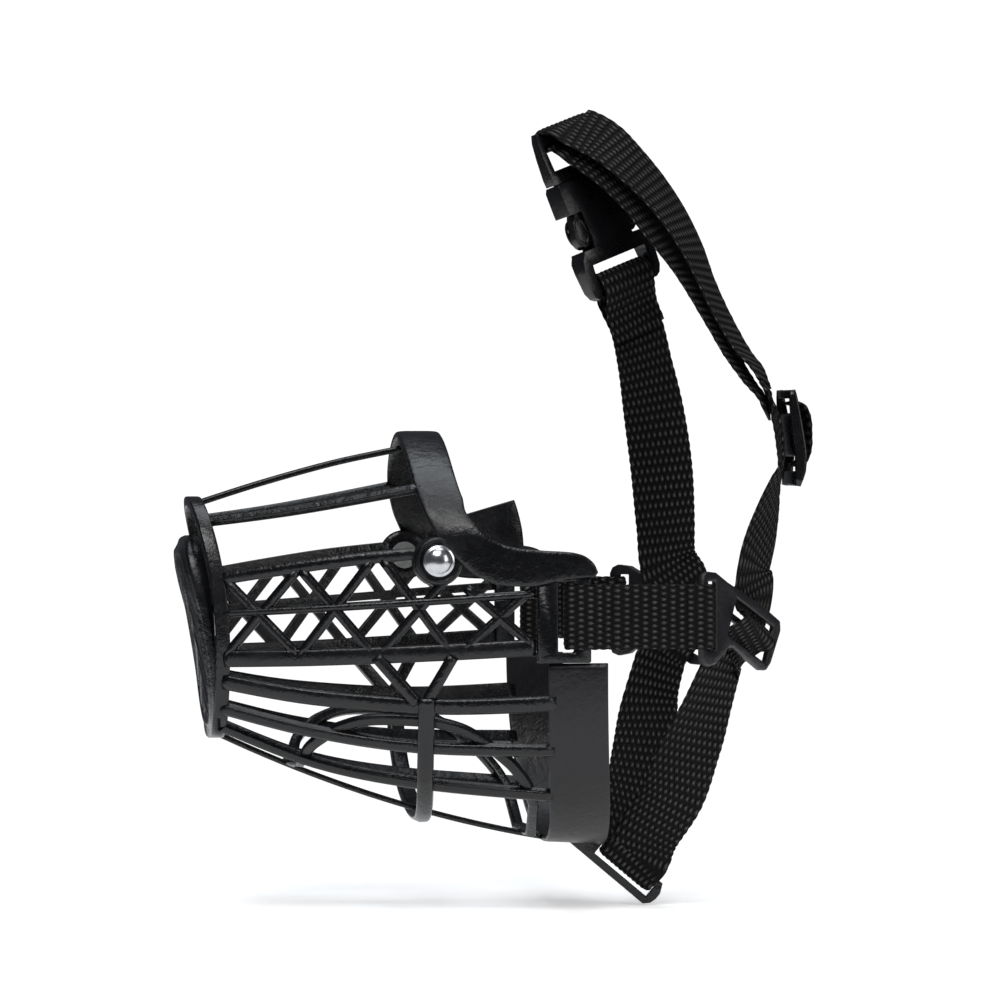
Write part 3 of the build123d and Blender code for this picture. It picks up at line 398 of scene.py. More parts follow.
rivet_y = float(half_width(RIVET_X))
LOBE = arr((0.5, -1.0), (7.4, -1.0), (7.5, 1.3), (7.5, 2.9), (7.3, 3.6), (6.9, 4.05), (6.4, 4.2), (6.0, 4.05),
           (5.7, 3.5), (5.4, 3.3), (5.0, 3.25), (0.5, 3.2))
for side_name, side in (("left", -1), ("right", 1)):
    lobe = skin("arch_lobe_" + side_name, turned(spline(LOBE, 3), side, (RIVET_X, rivet_y, RIVET_Z)))
    settle(lobe, "basket", "basket_plastic", basket_black)
TAB_FRONT = arr((-24.0, 20.4), (-21.0, 24.5), (-19.4, 28.0), (-18.6, 30.0))
TAB_REAR = arr((0.6, 18.6), (0.0, 25.0), (-1.4, 31.0), (-2.6, 34.6))
tab_rows = spline(np.hstack([TAB_FRONT, TAB_REAR]), 6)
x = (tab_rows[:, 0:1] * (1 - share) + tab_rows[:, 2:3] * (1 + share)) / 2
z = (tab_rows[:, 1:2] * (1 - share) + tab_rows[:, 3:4] * (1 + share)) / 2
tail = np.stack([x, half_width(x) + ARM_OUT + depth * 1.1 + z * 0, z], -1)
settle(skin("arch_tail_moulding", tail), "basket", "basket_plastic", basket_black)

# ---------------------------------------------------------------------------
# Truss panels: a top rail, a ribbed middle rail and a wide low rail with crossed braces between them.
# Moulded with the cage, one panel on each cheek.
TOP_RAIL = arr((-102.6, 11.6), (-86.9, 14.2), (-65.0, 17.4), (-43.3, 19.6))
MIDDLE_RAIL = arr((-102.6, 0.9), (-70.2, 2.9), (-45, 4.6), (-9.4, 7.1))
LOW_RAIL = arr((-102.6, -13.0), (-75.0, -12.4), (-38.0, -10.8), (-9.4, -9.2))
CROSSINGS = ((-91.6, 10.6, None), (-69.4, 10.6, None), (-45.0, 9.2, 12.4), (-20.0, 9.2, 8.6))


def wall_bar(knots, side, width, thick, offset=0.0, ridge=0.0, square=0.3, steps=8):
    """Rings of a bar that follows the wall through side-view points (x, z)."""
    run = spline(knots, steps)
    path = np.stack([run[:, 0], side * wall_y(run[:, 0], run[:, 1]), run[:, 1]], -1)
    out = outward(path)
    return carried(path + out * offset, out, width, thick, square, ridge)


def joined(name, parts):
    """One piece of several skins."""
    pieces = [skin(name, rings) for rings in parts]
    with bpy.context.temp_override(active_object=pieces[0], selected_editable_objects=pieces):
        bpy.ops.object.join()
    return pieces[0]


for side_name, side in (("left", -1), ("right", 1)):
    bars = [wall_bar(TOP_RAIL, side, 3.8, 2.8, ridge=0.25), wall_bar(MIDDLE_RAIL, side, 2.6, 2.4, ridge=0.5),
            wall_bar(LOW_RAIL, side, 5.2, 2.8, ridge=0.2)]
    for middle, aft, head in CROSSINGS:
        fore_x, aft_x = middle - 10.6, middle + aft
        fore_foot, aft_foot = np.interp((fore_x, aft_x), LOW_RAIL[:, 0], LOW_RAIL[:, 1]) + 1.0
        fore_head, aft_head = np.interp((fore_x, aft_x), TOP_RAIL[:, 0], TOP_RAIL[:, 1]) - 0.8
        fore_head, aft_head = 9.0 if middle == -20.0 else fore_head, head or aft_head
        leaning_aft = arr((fore_x, fore_foot), (aft_x, aft_head))
        leaning_fore = arr((aft_x, aft_foot), (fore_x, fore_head))
        for knots in (leaning_aft, leaning_fore):
            bars.append(wall_bar(knots, side, 3.0, 2.2, ridge=0.35, square=0.4))
    settle(joined("truss_panel_%s_moulding" % side_name, bars), "basket", "basket_plastic", basket_black,
           "truss_panel_" + side_name)

# ---------------------------------------------------------------------------
# Rivets: chromed steel caps, pressed over a post through arm and truss, with a plain steel washer inside.
# The cap is domed, with a flat rolled rim.
chrome = Finish("rivet_chrome")
place = chrome.node("ShaderNodeTexCoord", out="Object")
scuffs = chrome.noise(place, Scale=900.0, Detail=4.0)
smears = chrome.noise(place, Scale=160.0, Detail=3.0, Distortion=2.0)
tone = chrome.blended(smears, (0.34, 0.35, 0.38), (0.62, 0.62, 0.63))
dent = chrome.bump(scuffs * 0.3 + smears, 0.18, 0.0004)
rivet_chrome = chrome.surface(Base_Color=tone, Metallic=1.0, Roughness=smears * 0.16 + 0.16, Normal=dent)
CAP = arr((0.2, -0.8), (4.6, -0.8), (4.85, -0.5), (4.9, 0.0), (4.8, 0.35), (4.4, 0.55), (4.0, 0.75),
          (3.4, 1.3), (2.6, 1.8), (1.6, 2.2), (0.8, 2.36), (0.15, 2.4))
for side_name, side in (("left", -1), ("right", 1)):
    cap = skin("rivet_cap_" + side_name, turned(spline(CAP, 4), side, (RIVET_X, rivet_y + 3.9, RIVET_Z)))
    settle(cap, "basket", "rivet_cap", rivet_chrome, "rivet_" + side_name)

steel = Finish("washer_steel")
place = steel.node("ShaderNodeTexCoord", out="Object")
brushing = steel.noise(place, Scale=700.0, Detail=5.0)
rings_cut = steel.node("ShaderNodeTexWave", {"wave_type": "RINGS"},
                       {"Vector": place, "Scale": 300.0, "Distortion": 3.0})
tone = steel.blended(brushing, (0.36, 0.36, 0.37), (0.62, 0.62, 0.6))
dent = steel.bump(rings_cut * 0.4 + brushing, 0.2, 0.0003)
washer_steel = steel.surface(Base_Color=tone, Metallic=1.0, Roughness=brushing * 0.2 + 0.28, Normal=dent)
for side_name in ("left", "right"):
    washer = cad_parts["rivet_washer_" + side_name]
    washer.data.materials.clear()
    washer.data.materials.append(washer_steel)

# ---------------------------------------------------------------------------
# Rim band: the wide smooth band round the way in, from one slot frame under the jaw to the other.
# Same moulding, left plain so that it doesn't chafe, and scuffed duller than the bars.
rim_black = moulded("rim_black", (0.0022, 0.0021, 0.003), (0.008, 0.0072, 0.0105), 0.3, 0.35, 0.7)


def section_point(x, degrees):
    """Point of the wall's lower section: 0 is the left side, 90 the keel and 180 the right side."""
    c, s = np.cos(np.radians(degrees)), np.sin(np.radians(degrees))
    y = -half_width(x) * signed(c, 2 / WALL_POWER)
    return np.stack([x + y * 0, y, WIDEST_Z - (WIDEST_Z - keel_z(x)) * np.abs(s) ** (2 / WALL_POWER)], -1)


turn = np.linspace(4, 176, 120)
rim_path = section_point(np.full(120, 4.0), turn)
low = np.maximum(0.0, (WIDEST_Z - rim_path[:, 2]) / 62.0)
rim_path[:, 0] = 3.6 + 4.8 * low ** 2.5
rim_down = (rim_path[:, 2] - WIDEST_Z) / 62.0 ** 2
rim_out = unit(np.stack([low * 0 - 0.0008, rim_path[:, 1] / 49.0 ** 2, rim_down], -1))
settle(skin("rim_band_moulding", carried(rim_path, rim_out, 18.2 + 0.4 * low ** 2, 2.3, 0.16, points=48)),
       "basket", "basket_plastic", rim_black, "rim_band")

# ---------------------------------------------------------------------------
# Slot frames: raised upright eyes in the rim's upper corners that carry the cheek straps.
# Moulded with the rim; their edges are rounded over so that the webbing doesn't fray.


def rounded_copy(node, name, radius, segments=3):
    """The CAD node's own shape with its edges rolled over, to a radius in millimetres.

    Its triangles are welded, its flats made whole, and the edges between them bevelled.
    """
    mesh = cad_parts[node].data.copy()
    piece = bpy.data.objects.new(name, mesh)
    bpy.context.scene.collection.objects.link(piece)
    weld = piece.modifiers.new("weld", "WELD")
    weld.merge_threshold = 0.00002
    flats = piece.modifiers.new("flats", "DECIMATE")
    flats.decimate_type, flats.angle_limit = "DISSOLVE", math.radians(1.0)
    roll = piece.modifiers.new("roll", "BEVEL")
    roll.width, roll.segments, roll.limit_method = radius * MM, segments, "ANGLE"
    roll.angle_limit = math.radians(32)
    shaped = bpy.data.meshes.new_from_object(piece.evaluated_get(bpy.context.evaluated_depsgraph_get()))
    shaped.name = name
    piece.modifiers.clear()
    piece.data = shaped
    shaped.polygons.foreach_set("use_smooth", np.ones(len(shaped.polygons), bool))
    shaped.set_sharp_from_angle(angle=math.radians(35))
    return piece


for side_name in ("left", "right"):
    eye = rounded_copy("slot_frame_" + side_name, "slot_frame_%s_moulding" % side_name, 0.7)
    settle(eye, "basket", "basket_plastic", basket_black, "slot_frame_" + side_name)

# ---------------------------------------------------------------------------
# Cross hoop: the strong hoop under the cage, with two braces up to each truss that make a Y.
# Same moulding; it passes outside the cage bars.
hoop_turn = np.linspace(15, 165, 90)
hoop_path = section_point(MIDDLE_X + 3.0 * np.sin(np.radians(hoop_turn)) ** 4, hoop_turn)
hoop_out = outward(hoop_path)
hoop_parts = [carried(hoop_path + hoop_out * 1.7, hoop_out, 5.0, 3.4, 0.35, 0.15)]
for side in (-1, 1):
    for upper, lower in ((-57.4, -44.9), (-34.4, -42.4)):
        hoop_parts.append(wall_bar(arr((upper, -12.0), (lower, -26.0)), side, 3.6, 2.6, 0.9, 0.3))
settle(joined("cross_hoop_moulding", hoop_parts), "basket", "basket_plastic", basket_black, "cross_hoop")

# ---------------------------------------------------------------------------
# Belly hoop: an oval rib inside the bars, from the keel in front round both sides to the keel behind.
# Same moulding; it ties the long bars together between the hoops.
OVAL = arr((-79.0, -51.0), (-76.8, -42.4), (-72.8, -38.1), (-67.9, -34.8), (-58.7, -32.2), (-44.6, -32.4),
           (-37.9, -33.2), (-30.5, -35.5), (-24.0, -39.6), (-19.1, -43.4), (-14.7, -47.4), (-10.4, -53.0),
           (-7.6, -58.8))
oval = spline(OVAL, 6)
oval_z = np.maximum(oval[:, 1], keel_z(oval[:, 0]) + 1.0)
cheek = np.stack([oval[:, 0], wall_y(oval[:, 0], oval_z), oval_z], -1)
END_POINTS = ((-80.2, (0.0, 3.0, 7.0)), (-6.6, (16.0, 8.0, 0.0)))
ends = [arr(*[(x, y, keel_z(x)) for y in ys]) for x, ys in END_POINTS]
half = np.vstack([ends[0], cheek, ends[1]])
oval_path = np.vstack([half, (half * arr(1, -1, 1))[::-1][1:-1]])
oval_out = outward(oval_path)
oval_rings = carried(oval_path - oval_out * 1.4, oval_out, 3.4, 3.2, 0.6, loop=True)
settle(skin("belly_hoop_moulding", oval_rings, loop=True),
       "basket", "basket_plastic", basket_black, "belly_hoop")

# ---------------------------------------------------------------------------
# Cage bars: three long ridged bars each side and one flat bar along the keel, from nose hoop to rim.
# Same moulding, each passing over the belly hoop and under the cross hoop.
CAGE_BARS = {
    "upper": (arr((-102.8, -20.0), (-75.8, -24.6), (-38.4, -27.3), (-3.0, -26.3)), 5.0),
    "middle": (arr((-102.8, -28.4), (-75.4, -35.3), (-44.4, -39.8), (-3.0, -41.0)), 4.0),
    "lower": (arr((-102.8, -34.0), (-73.8, -45.3), (-43.1, -51.4), (-2.0, -55.2)), 4.0),
}
for side_name, side in (("left", -1), ("right", 1)):
    for level, (knots, width) in CAGE_BARS.items():
        node = "cage_bar_%s_%s" % (level, side_name)
        bar = skin(node + "_moulding", wall_bar(knots, side, width, 2.4, ridge=0.45))
        settle(bar, "basket", "basket_plastic", basket_black, node)
keel_x = np.linspace(-101.6, -1.0, 60)
keel_path = np.stack([keel_x, keel_x * 0, keel_z(keel_x)], -1)
keel = skin("keel_bar_moulding", carried(keel_path, keel_path * 0 - arr(0, 0, 1), 4.6, 1.8, 0.35))
settle(keel, "basket", "basket_plastic", basket_black, "keel_bar")

# ---------------------------------------------------------------------------
# Throat tab: the thin slotted bar behind the jaw that the neck strap passes through.
# Moulded with the rim.
tab = rounded_copy("throat_tab", "throat_tab_moulding", 0.6)
settle(tab, "basket", "basket_plastic", basket_black, "throat_tab")

# ---------------------------------------------------------------------------
# Cheek straps: short loops of 20 mm polypropylene webbing, each doubled between its slot frame and the
# connector's front bar and sewn flat. Coarse plain weave, rolled selvedges.
WEB_WIDTH, WEB_THICK = 20.0, 1.4
PICK = 2.85                # from one row of the weave to the next, mm
END = 1.82                 # from one column to the next, mm
WEB_COLUMNS = 56           # points across each face of the mesh
HUMP = 0.26                # how far a yarn stands out from the face, mm


def woven(name, dark, painted_glint):
    """Black webbing: staggered rows of yarn humps, each with a highlight painted into its colour along its
    top, with loose fibres between.
    """
    f = Finish(name)
    place = f.node("ShaderNodeTexCoord", out="Object")
    chart = f.node("ShaderNodeUVMap", {"uv_map": "weave"})
    split = f.node("ShaderNodeSeparateXYZ", {}, {0: chart})
    across = Value(f, split.socket.node.outputs["Y"])
    row = split / PICK
    shift = row.math("FLOORED_MODULO", row.math("FLOOR", row), 2.0) * 0.5
    run = row.math("FRACT", row) - 0.5
    side = across / END + shift
    side = side.math("FRACT", side) - 0.5
    hump = (1.0 - (run * run * 3.8 + side * side * 4.2)).clipped()
    twist = f.noise(place, Scale=2600.0, Detail=3.0, Roughness=0.7)
    glint_patches = f.noise(place, Scale=70.0, Detail=4.0)
    slope = side * 19.0 + run * 8.0
    strand = slope.math("SINE", slope) * 0.5 + 0.5
    # Painted highlight: the base colour turns towards the second colour on the humps' tops, varied in
    # patches, where light would catch the yarn.
    painted_highlight = (hump ** 4.0) * (strand * 0.75 + 0.25) * (twist * 1.1 + 0.1) * (glint_patches * 0.8 + 0.5)
    tone = f.blended(painted_highlight.clipped(), dark, painted_glint)
    height = hump + twist * 0.2 + strand * 0.14
    bump = f.bump(height, 0.9, 0.0007)
    return f.surface(Base_Color=tone, Roughness=0.62 - painted_highlight * 0.22 + twist * 0.1, Normal=bump,
                     Specular_IOR_Level=0.14)


# The second colour is the painted highlight on the yarn tops.
webbing_black = woven("webbing_black", (0.0016, 0.0014, 0.0014), (0.19, 0.175, 0.165))


def webbing(name, knots, acrosses, width=WEB_WIDTH):
    """Webbing along a smooth run through the knots, its width along the across directions.

    The section is a flat oval; the weave's humps stand out from both faces and scallop the edges:
    cos squared of the place along the row times cos squared of the place across, staggered by rows.
    """
    rows = spline(np.hstack([knots, unit(acrosses)]), 10)
    path, side = rows[:, :3], unit(rows[:, 3:])
    gaps = np.linalg.norm(np.diff(path, axis=0), axis=1)
    reach = np.append(0, np.cumsum(gaps))
    even = np.linspace(0, reach[-1], int(reach[-1] / (PICK / 6)) + 2)
    path = np.stack([np.interp(even, reach, path[:, k]) for k in range(3)], -1)
    side = unit(np.stack([np.interp(even, reach, side[:, k]) for k in range(3)], -1))
    run = unit(np.gradient(path, axis=0))
    face = unit(np.cross(run, side))
    side = np.cross(face, run)
    v = np.linspace(-1, 1, WEB_COLUMNS)
    c = np.concatenate([v, v[::-1]])
    top = np.concatenate([np.ones(WEB_COLUMNS), -np.ones(WEB_COLUMNS)])
    thin = np.sqrt(np.clip(1 - np.abs(c) ** 9, 0, 1))
    rolled = 1 + 0.10 * np.exp(-((np.abs(c) - 0.93) / 0.05) ** 2)
    place = even[:, None] / PICK
    stagger = (np.floor(place) % 2) * 0.5
    column = c[None] * width / 2 / END + stagger
    hump = np.cos(np.pi * (place - 0.5)) ** 2 * np.cos(np.pi * (column - 0.5)) ** 2
    scallop = 1 - 0.024 * (1 - np.abs(np.cos(np.pi * place)))
    out = top * (thin * rolled * (WEB_THICK / 2 - 0.2)) + top * thin * hump * HUMP
    wide = c[None] * width / 2 * scallop
    rings = path[:, None] + side[:, None] * wide[..., None] + face[:, None] * out[..., None]
    return skin(name, rings, stretch=(even, c * width / 2))


def cheek_loop(side, connector_x, bow):
    """The loop seen from above, as one run: out along the face side and back along the inside."""
    ax, ay, bx, by = 4.8, 50.0, connector_x, 50.2
    f = np.linspace(0, 1, 13)
    x = ax + (bx - ax) * f
    middle = ay + (by - ay) * f + bow * np.sin(np.pi * f) ** 2
    near_a = np.minimum(1, np.maximum(0, 1 - np.abs(x - ax) / 9.0) * 1.8)
    near_b = np.minimum(1, np.maximum(0, 1 - np.abs(x - bx) / 7.0) * 1.6)
    gap = WEB_THICK / 2 + 0.06 + 1.85 * near_a + 1.95 * near_b
    outer = np.stack([x, middle + gap], -1)
    inner = np.stack([x, middle - gap], -1)[::-1]
    end_b = arr((bx + 2.3, by + 1.7), (bx + 2.9, by), (bx + 2.3, by - 1.7))
    end_a = arr((ax - 4.4, ay - 1.5), (ax - 5.2, ay), (ax - 4.4, ay + 1.5))
    ring = np.vstack([outer[3:], end_b, inner, end_a, outer[:5]])
    return np.stack([ring[:, 0], side * ring[:, 1], ring[:, 0] * 0], -1)


for side_name, side, connector_x, bow in (("left", -1, 42.0, 0.0), ("right", 1, 30.0, 5.0)):
    knots = cheek_loop(side, connector_x, bow)
    strap = webbing("cheek_strap_%s_webbing" % side_name, knots, np.tile(arr(0, 0, 1.0), (len(knots), 1)))
    strap.data.materials.append(webbing_black)
    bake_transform(strap)
    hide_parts("cheek_strap_" + side_name)

# ---------------------------------------------------------------------------
# Connectors: flat satin black plates that join cheek strap and neck strap, with an upright slot in front
# and a barred window behind. Injection moulded acetal, edges rounded.
connector_black = moulded("connector_black", (0.0045, 0.004, 0.0056), (0.012, 0.0108, 0.0145),
                          0.36, 0.45, 0.5)
for side_name in ("left", "right"):
    plate = rounded_copy("connector_" + side_name, "connector_%s_plate" % side_name, 0.75)
    settle(plate, "harness", "connector_plastic", connector_black, "connector_" + side_name)

# ---------------------------------------------------------------------------
# Neck strap: one long webbing from the buckle's socket down through the right connector, round the throat
# tab and up through the left connector to the slide adjuster. Its cut end is folded back and sewn.
THROAT_SLOT = arr(25.178, 0, -80.867)
TAB_ALONG, TAB_UP = arr(0.766, 0, -0.6428), arr(0.6428, 0, 0.766)
THROAT_BEND = arr((0.05, 0.0), (1.0, 0.0), (1.9, 0.0), (3.7, 1.2), (4.2, 3.6), (5.0, 6.5))


def window(side, front_x):
    """Knots of the strap's way through a connector, and the direction across it.

    It passes behind one rail, over the middle bar and behind the other rail.
    """
    yaw, tilt = math.radians(48.0), math.radians(-23.4)
    along = arr(math.cos(yaw), -side * math.sin(yaw), 0)
    out = np.cross(along, (0, 0, 1))
    out = out * np.sign(out[1] * side)
    across = along * math.cos(tilt) + arr(0, 0, 1) * math.sin(tilt)
    up = arr(0, 0, 1) * math.cos(tilt) - along * math.sin(tilt)
    middle = arr(front_x, side * 50.2, 0) + along * 26.4 + arr(0, 0, -5.0)
    steps = arr((-12.0, -3.75), (-7.4, -3.35), (-3.7, -0.1), (0.0, 2.95), (3.7, -0.1), (7.4, -3.35),
                (12.0, -3.75))
    slant = 4.4 if side < 0 else 0.0
    return middle + steps[:, :1] * (up + across * (slant / 12)) + steps[:, 1:] * out, across


def mixed(a, b, shares):
    """Directions part of the way from a to b."""
    shares = np.array(shares)[:, None]
    return unit(a * (1 - shares) + b * shares)


def bend(side):
    return THROAT_SLOT + THROAT_BEND[:, :1] * arr(0, side, 0) + THROAT_BEND[:, 1:] * TAB_UP


left_window, left_across = window(-1, 42.0)
right_window, right_across = window(1, 30.0)
ADJUSTER_ACROSS = arr(0.05, 1.0, 0)
left_knots = np.vstack([
    bend(-1), arr((31.2, -9.5, -69.0), (37.6, -18.0, -57.0), (41.4, -26.0, -43.0), (45.6, -31.5, -30.0)),
    left_window,
    arr((62.4, -24.0, 14.6), (66.8, -18.0, 26.5), (70.8, -12.6, 37.0), (73.6, -8.8, 46.0), (73.4, -5.8, 55.8),
        (71.8, -3.4, 63.6), (69.9, -1.2, 70.4))])
left_turns = np.vstack([
    np.tile(TAB_ALONG, (6, 1)), mixed(TAB_ALONG, left_across, (0.1, 0.22, 0.42, 0.74)),
    np.tile(left_across, (7, 1)),
    mixed(left_across, ADJUSTER_ACROSS, (0.08, 0.24, 0.52, 0.86, 0.97, 0.9)), arr(0.26, 0.96, 0.04)])
left_strap = webbing("neck_strap_left_webbing", left_knots, left_turns)
settle(left_strap, "harness", "webbing", webbing_black, "neck_strap_left")

BUCKLE = arr(19.8, 30.0, 128.5)
BUCKLE_DOWN, BUCKLE_ACROSS = unit(arr(0.3696, 0.0, -0.9292)), unit(arr(0.84, 0.43, 0.334))
BUCKLE_FACE = np.cross(BUCKLE_DOWN, BUCKLE_ACROSS)
BAR_REACH = 24.5           # from the buckle's middle to either strap bar
SOCKET_BAR, PLUG_BAR = BUCKLE + BUCKLE_DOWN * BAR_REACH, BUCKLE - BUCKLE_DOWN * BAR_REACH


def fold(bar, *degrees):
    """Round a strap bar: 0 is over its face, 90 below it."""
    r = np.radians(np.array(degrees))[:, None]
    return bar + 3.35 * (np.cos(r) * BUCKLE_FACE + np.sin(r) * BUCKLE_DOWN)


right_knots = np.vstack([
    bend(1), arr((29.0, 10.0, -68.5), (32.6, 19.0, -55.0), (35.8, 26.0, -41.0), (38.4, 31.5, -28.5)),
    right_window,
    arr((44.2, 31.4, 14.5), (43.8, 35.0, 28.0), (43.0, 38.0, 45.0), (40.8, 39.0, 62.0), (37.8, 37.6, 77.0),
        (34.4, 34.6, 90.0)), SOCKET_BAR + BUCKLE_DOWN * 6.5 - BUCKLE_FACE * 3.55,
    fold(SOCKET_BAR, 180, 225, 270, 315, 360), SOCKET_BAR + BUCKLE_DOWN * 4.0 + BUCKLE_FACE * 2.6,
    arr((32.6, 31.8, 95.6), (35.4, 33.3, 88.6))])
right_turns = np.vstack([
    np.tile(TAB_ALONG, (6, 1)), mixed(TAB_ALONG, right_across, (0.15, 0.4, 0.7, 0.9)),
    np.tile(right_across, (7, 1)), mixed(right_across, arr(0.96, 0.28, 0.0), (0.1, 0.26, 0.5, 0.76)),
    arr((0.93, 0.34, 0.08), (0.88, 0.4, 0.22)),
    np.tile(BUCKLE_ACROSS, (7, 1)), arr((0.87, 0.4, 0.3), (0.9, 0.36, 0.22))])
right_strap = webbing("neck_strap_right_webbing", right_knots, right_turns)
settle(right_strap, "harness", "webbing", webbing_black, "neck_strap_right")

# ---------------------------------------------------------------------------
# Crown strap: the same webbing, doubled from the slide adjuster over the plug's strap bar and back.
crown_outer = arr(
    (69.8, -0.9, 71.4), (67.4, 0.9, 76.4), (63.2, 4.6, 82.6), (58.0, 8.4, 92.6), (53.2, 12.0, 103.8),
    (48.8, 14.8, 114.8), (43.3, 16.6, 125.0), (36.2, 18.0, 134.6), (28.0, 19.6, 143.2), (20.8, 22.2, 149.4))
crown_inner = arr(
    (18.6, 23.4, 144.6), (25.4, 20.6, 138.0), (32.2, 18.6, 129.6), (38.4, 17.0, 120.2), (44.6, 15.0, 111.0),
    (49.9, 12.0, 101.0), (55.2, 8.4, 90.6), (60.0, 4.8, 80.8), (64.4, 1.2, 73.2), (68.4, -1.8, 67.2),
    (70.0, -3.4, 62.0))
crown_knots = np.vstack([
    crown_outer, PLUG_BAR + BUCKLE_FACE * 6.0 - BUCKLE_DOWN * 1.4,
    fold(PLUG_BAR, 315, 270, 225, 180, 135, 90, 50),
    PLUG_BAR + BUCKLE_FACE * 5.6 + BUCKLE_DOWN * 5.0, crown_inner])
crown_side = arr(
    (0.26, 0.96, 0.04), (0.3, 0.95, 0.05), (0.33, 0.94, 0.1), (0.34, 0.92, 0.15), (0.33, 0.91, 0.22),
    (0.4, 0.87, 0.27), (0.46, 0.83, 0.3), (0.54, 0.77, 0.33), (0.66, 0.66, 0.34), (0.8, 0.5, 0.34))
crown_turns = np.vstack([crown_side, np.tile(BUCKLE_ACROSS, (9, 1)), crown_side[::-1], arr(0.2, 0.98, 0.02)])
crown = webbing("crown_strap_webbing", crown_knots, crown_turns)
crown.data.materials.append(webbing_black)
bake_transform(crown)
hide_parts("crown_strap")

# ---------------------------------------------------------------------------
# Side-release buckle: glossy black acetal in four parts. The socket takes the plug, whose two prongs snap
# out into its side windows and are squeezed to let go.
buckle_gloss = moulded("buckle_gloss", (0.0022, 0.0021, 0.0028), (0.006, 0.0058, 0.0075), 0.2, 0.2, 0.4)
BUCKLE_PARTS = (("buckle_socket", "harness", 0.8), ("buckle_plug", "buckle_plug", 0.7),
                ("buckle_prong_left", "prong_left", 0.7), ("buckle_prong_right", "prong_right", 0.7))
for node, body, radius in BUCKLE_PARTS:
    settle(rounded_copy(node, node + "_shell", radius, 4), body, "buckle_plastic", buckle_gloss, node)
GRIP_SIDE, GRIP_DOWN = 9.6, 6.3      # middle of a thumb grip, from the buckle's own middle
GRIP_WIDE, GRIP_TALL = 2.2, 4.1      # half-sizes of its oval
PAD_FACE = 2.35            # from the buckle's middle plane to a pad's face
oval_turn = np.arange(48) / 48 * 2 * np.pi
for side_name, side in (("left", -1), ("right", 1)):
    for face_name, face in (("outer", 1), ("inner", -1)):
        across = (side * GRIP_SIDE + GRIP_WIDE * np.cos(oval_turn))[:, None] * BUCKLE_ACROSS
        along = (GRIP_DOWN + GRIP_TALL * np.sin(oval_turn))[:, None] * BUCKLE_DOWN
        ring = BUCKLE + across + along + BUCKLE_FACE * (face * PAD_FACE)
        bead = carried(ring, ring * 0 + BUCKLE_FACE * face, 0.9, 0.8, 0.9, points=16, loop=True)
        grip = skin("thumb_grip_%s_%s" % (side_name, face_name), bead, loop=True)
        settle(grip, "prong_" + side_name, "buckle_plastic", buckle_gloss)

# ---------------------------------------------------------------------------
# Slide adjuster: a bowed black plate with two slots, which sets the crown strap's length by friction,
# and the webbing that folds over its middle.
BOW = arr((39.6, 77.6, 2.4), (44.0, 78.5, 3.4), (49.5, 78.7, 4.0), (56.0, 77.8, 3.8), (64.0, 76.6, 3.2),
          (69.6, 75.9, 2.4))
ADJUSTER_LOW, ADJUSTER_HIGH, ADJUSTER_Y = 39.6, 69.6, -4.0


def adjuster_bar(low, high, middle, width):
    """Rings of a bar of the plate: its bow gives x and thickness at each height."""
    z = np.linspace(low, high, 14)
    path = np.stack([np.interp(z, BOW[:, 0], BOW[:, 1]), z * 0 + middle, z], -1)
    ends = 1 - 0.25 * np.abs(np.linspace(-1, 1, 14)) ** 8
    thick = np.interp(z, BOW[:, 0], BOW[:, 2]) * ends
    return carried(path, path * 0 + unit(arr(1, 0, 0.1)), width, thick, 0.5)


ladder = joined("slide_adjuster_plate", [
    *(adjuster_bar(ADJUSTER_LOW, ADJUSTER_HIGH, ADJUSTER_Y + off, 2.0) for off in (-11.5, 11.5)),
    *(adjuster_bar(low, high, ADJUSTER_Y, 22.0) for low, high in ((67.0, 69.5), (48.8, 62.2), (39.7, 44.0)))])
settle(ladder, "adjuster", "buckle_plastic", buckle_gloss, "slide_adjuster")
loop_knots = arr((76.8, -4, 65.4), (79.8, -4, 65.0), (81.8, -4, 61.6), (82.3, -4, 56.4), (82.1, -4, 50.8),
                 (80.6, -4, 47.2), (78.2, -4, 46.2))
over = webbing("adjuster_loop_webbing", loop_knots, np.tile(arr(0, 1.0, 0), (7, 1)), width=19.6)
settle(over, "adjuster", "webbing", webbing_black, "adjuster_loop")

# ---------------------------------------------------------------------------
# Studio: a plain pale floor under the tab, soft lights, and the camera square to the dog's left side.
paper = Finish("floor_paper")
place = paper.node("ShaderNodeTexCoord", out="Object")
tooth = paper.noise(place, Scale=300.0, Detail=2.0)
shade = paper.blended(tooth, (0.93, 0.93, 0.93), (0.96, 0.96, 0.96))
floor_paper = paper.surface(Base_Color=shade, Roughness=0.9,
                            Emission_Color=(1, 1, 1, 1), Emission_Strength=0.5)
floor_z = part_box("throat_tab")[0].z - 0.0005
FLOOR = 0.4                # half the floor's side, m
floor_mesh = bpy.data.meshes.new("floor")
floor_corners = [(x * FLOOR, y * FLOOR, floor_z) for x, y in ((-1, -1), (1, -1), (1, 1), (-1, 1))]
floor_mesh.from_pydata(floor_corners, [], [(0, 1, 2, 3)])
floor = bpy.data.objects.new("floor", floor_mesh)
floor.data.materials.append(floor_paper)
bpy.context.scene.collection.objects.link(floor)

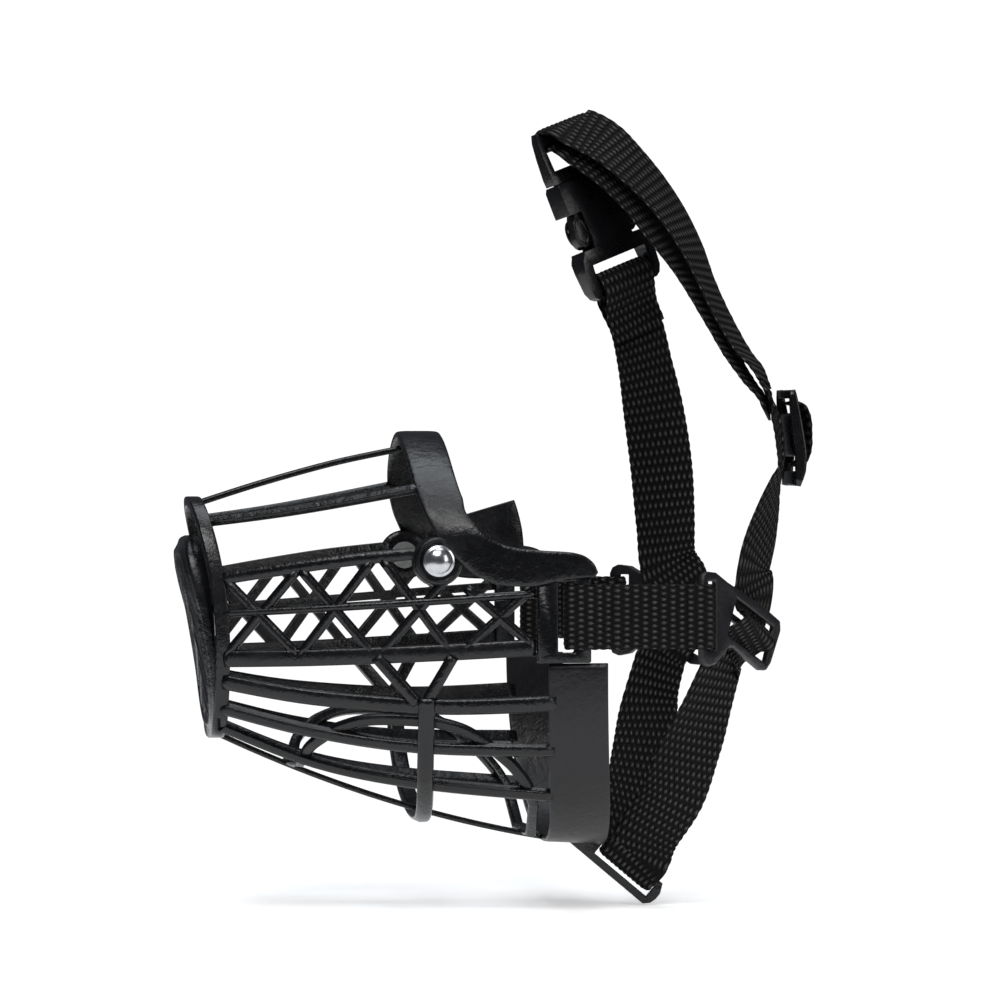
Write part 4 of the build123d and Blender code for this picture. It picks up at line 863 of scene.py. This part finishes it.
world = bpy.data.worlds.new("studio")
bpy.context.scene.world = world
world.use_nodes = True
sky = world.node_tree
sky.nodes.clear()
path_kind = sky.nodes.new("ShaderNodeLightPath")
seen, room = sky.nodes.new("ShaderNodeBackground"), sky.nodes.new("ShaderNodeBackground")
seen.inputs[0].default_value, seen.inputs[1].default_value = (1, 1, 1, 1), 1.05
room.inputs[0].default_value, room.inputs[1].default_value = (0.85, 0.9, 1, 1), 0.09
either, end = sky.nodes.new("ShaderNodeMixShader"), sky.nodes.new("ShaderNodeOutputWorld")
sky.links.new(path_kind.outputs["Is Camera Ray"], either.inputs[0])
sky.links.new(room.outputs[0], either.inputs[1])
sky.links.new(seen.outputs[0], either.inputs[2])
sky.links.new(either.outputs[0], end.inputs[0])


def lamp(name, place, aim, wide, deep, watts, colour):
    """Soft box of a size, at a place, turned to a point."""
    light = bpy.data.lights.new(name, "AREA")
    light.shape, light.size, light.size_y, light.energy, light.color = "RECTANGLE", wide, deep, watts, colour
    holder = bpy.data.objects.new(name, light)
    bpy.context.scene.collection.objects.link(holder)
    holder.location = place
    way = (np.array(aim) - np.array(place)).tolist()
    holder.rotation_euler = mathutils.Vector(way).to_track_quat("-Z", "Y").to_euler()


lamp("key", (-0.25, -0.75, 0.95), (0, 0, 0.02), 0.7, 0.5, 9.0, (1, 1, 1))
lamp("top", (0.05, 0.15, 1.1), (0, 0, 0), 0.8, 0.8, 6.0, (0.9, 0.95, 1))
lamp("side", (0.9, -0.9, 0.35), (0.02, 0, 0.03), 0.35, 0.7, 3.0, (1, 0.99, 0.97))

CAMERA_TURN, CAMERA_RISE, CAMERA_FAR = math.radians(-7.5), math.radians(0.7), 2.0
CAMERA_TARGET = arr(-0.01401, 0.0, 0.03518)
LENS, SENSOR = 230.4, 36.0
look = arr(-math.sin(CAMERA_TURN) * math.cos(CAMERA_RISE), math.cos(CAMERA_TURN) * math.cos(CAMERA_RISE),
           -math.sin(CAMERA_RISE))
camera = bpy.data.objects.new("camera", bpy.data.cameras.new("camera"))
bpy.context.scene.collection.objects.link(camera)
camera.data.lens, camera.data.sensor_width = LENS, SENSOR
camera.location = CAMERA_TARGET - look * CAMERA_FAR
camera.rotation_euler = mathutils.Vector(look.tolist()).to_track_quat("-Z", "Y").to_euler()
camera.data.clip_end = 20.0
bpy.context.scene.camera = camera
bpy.context.scene.view_settings.view_transform = "Standard"
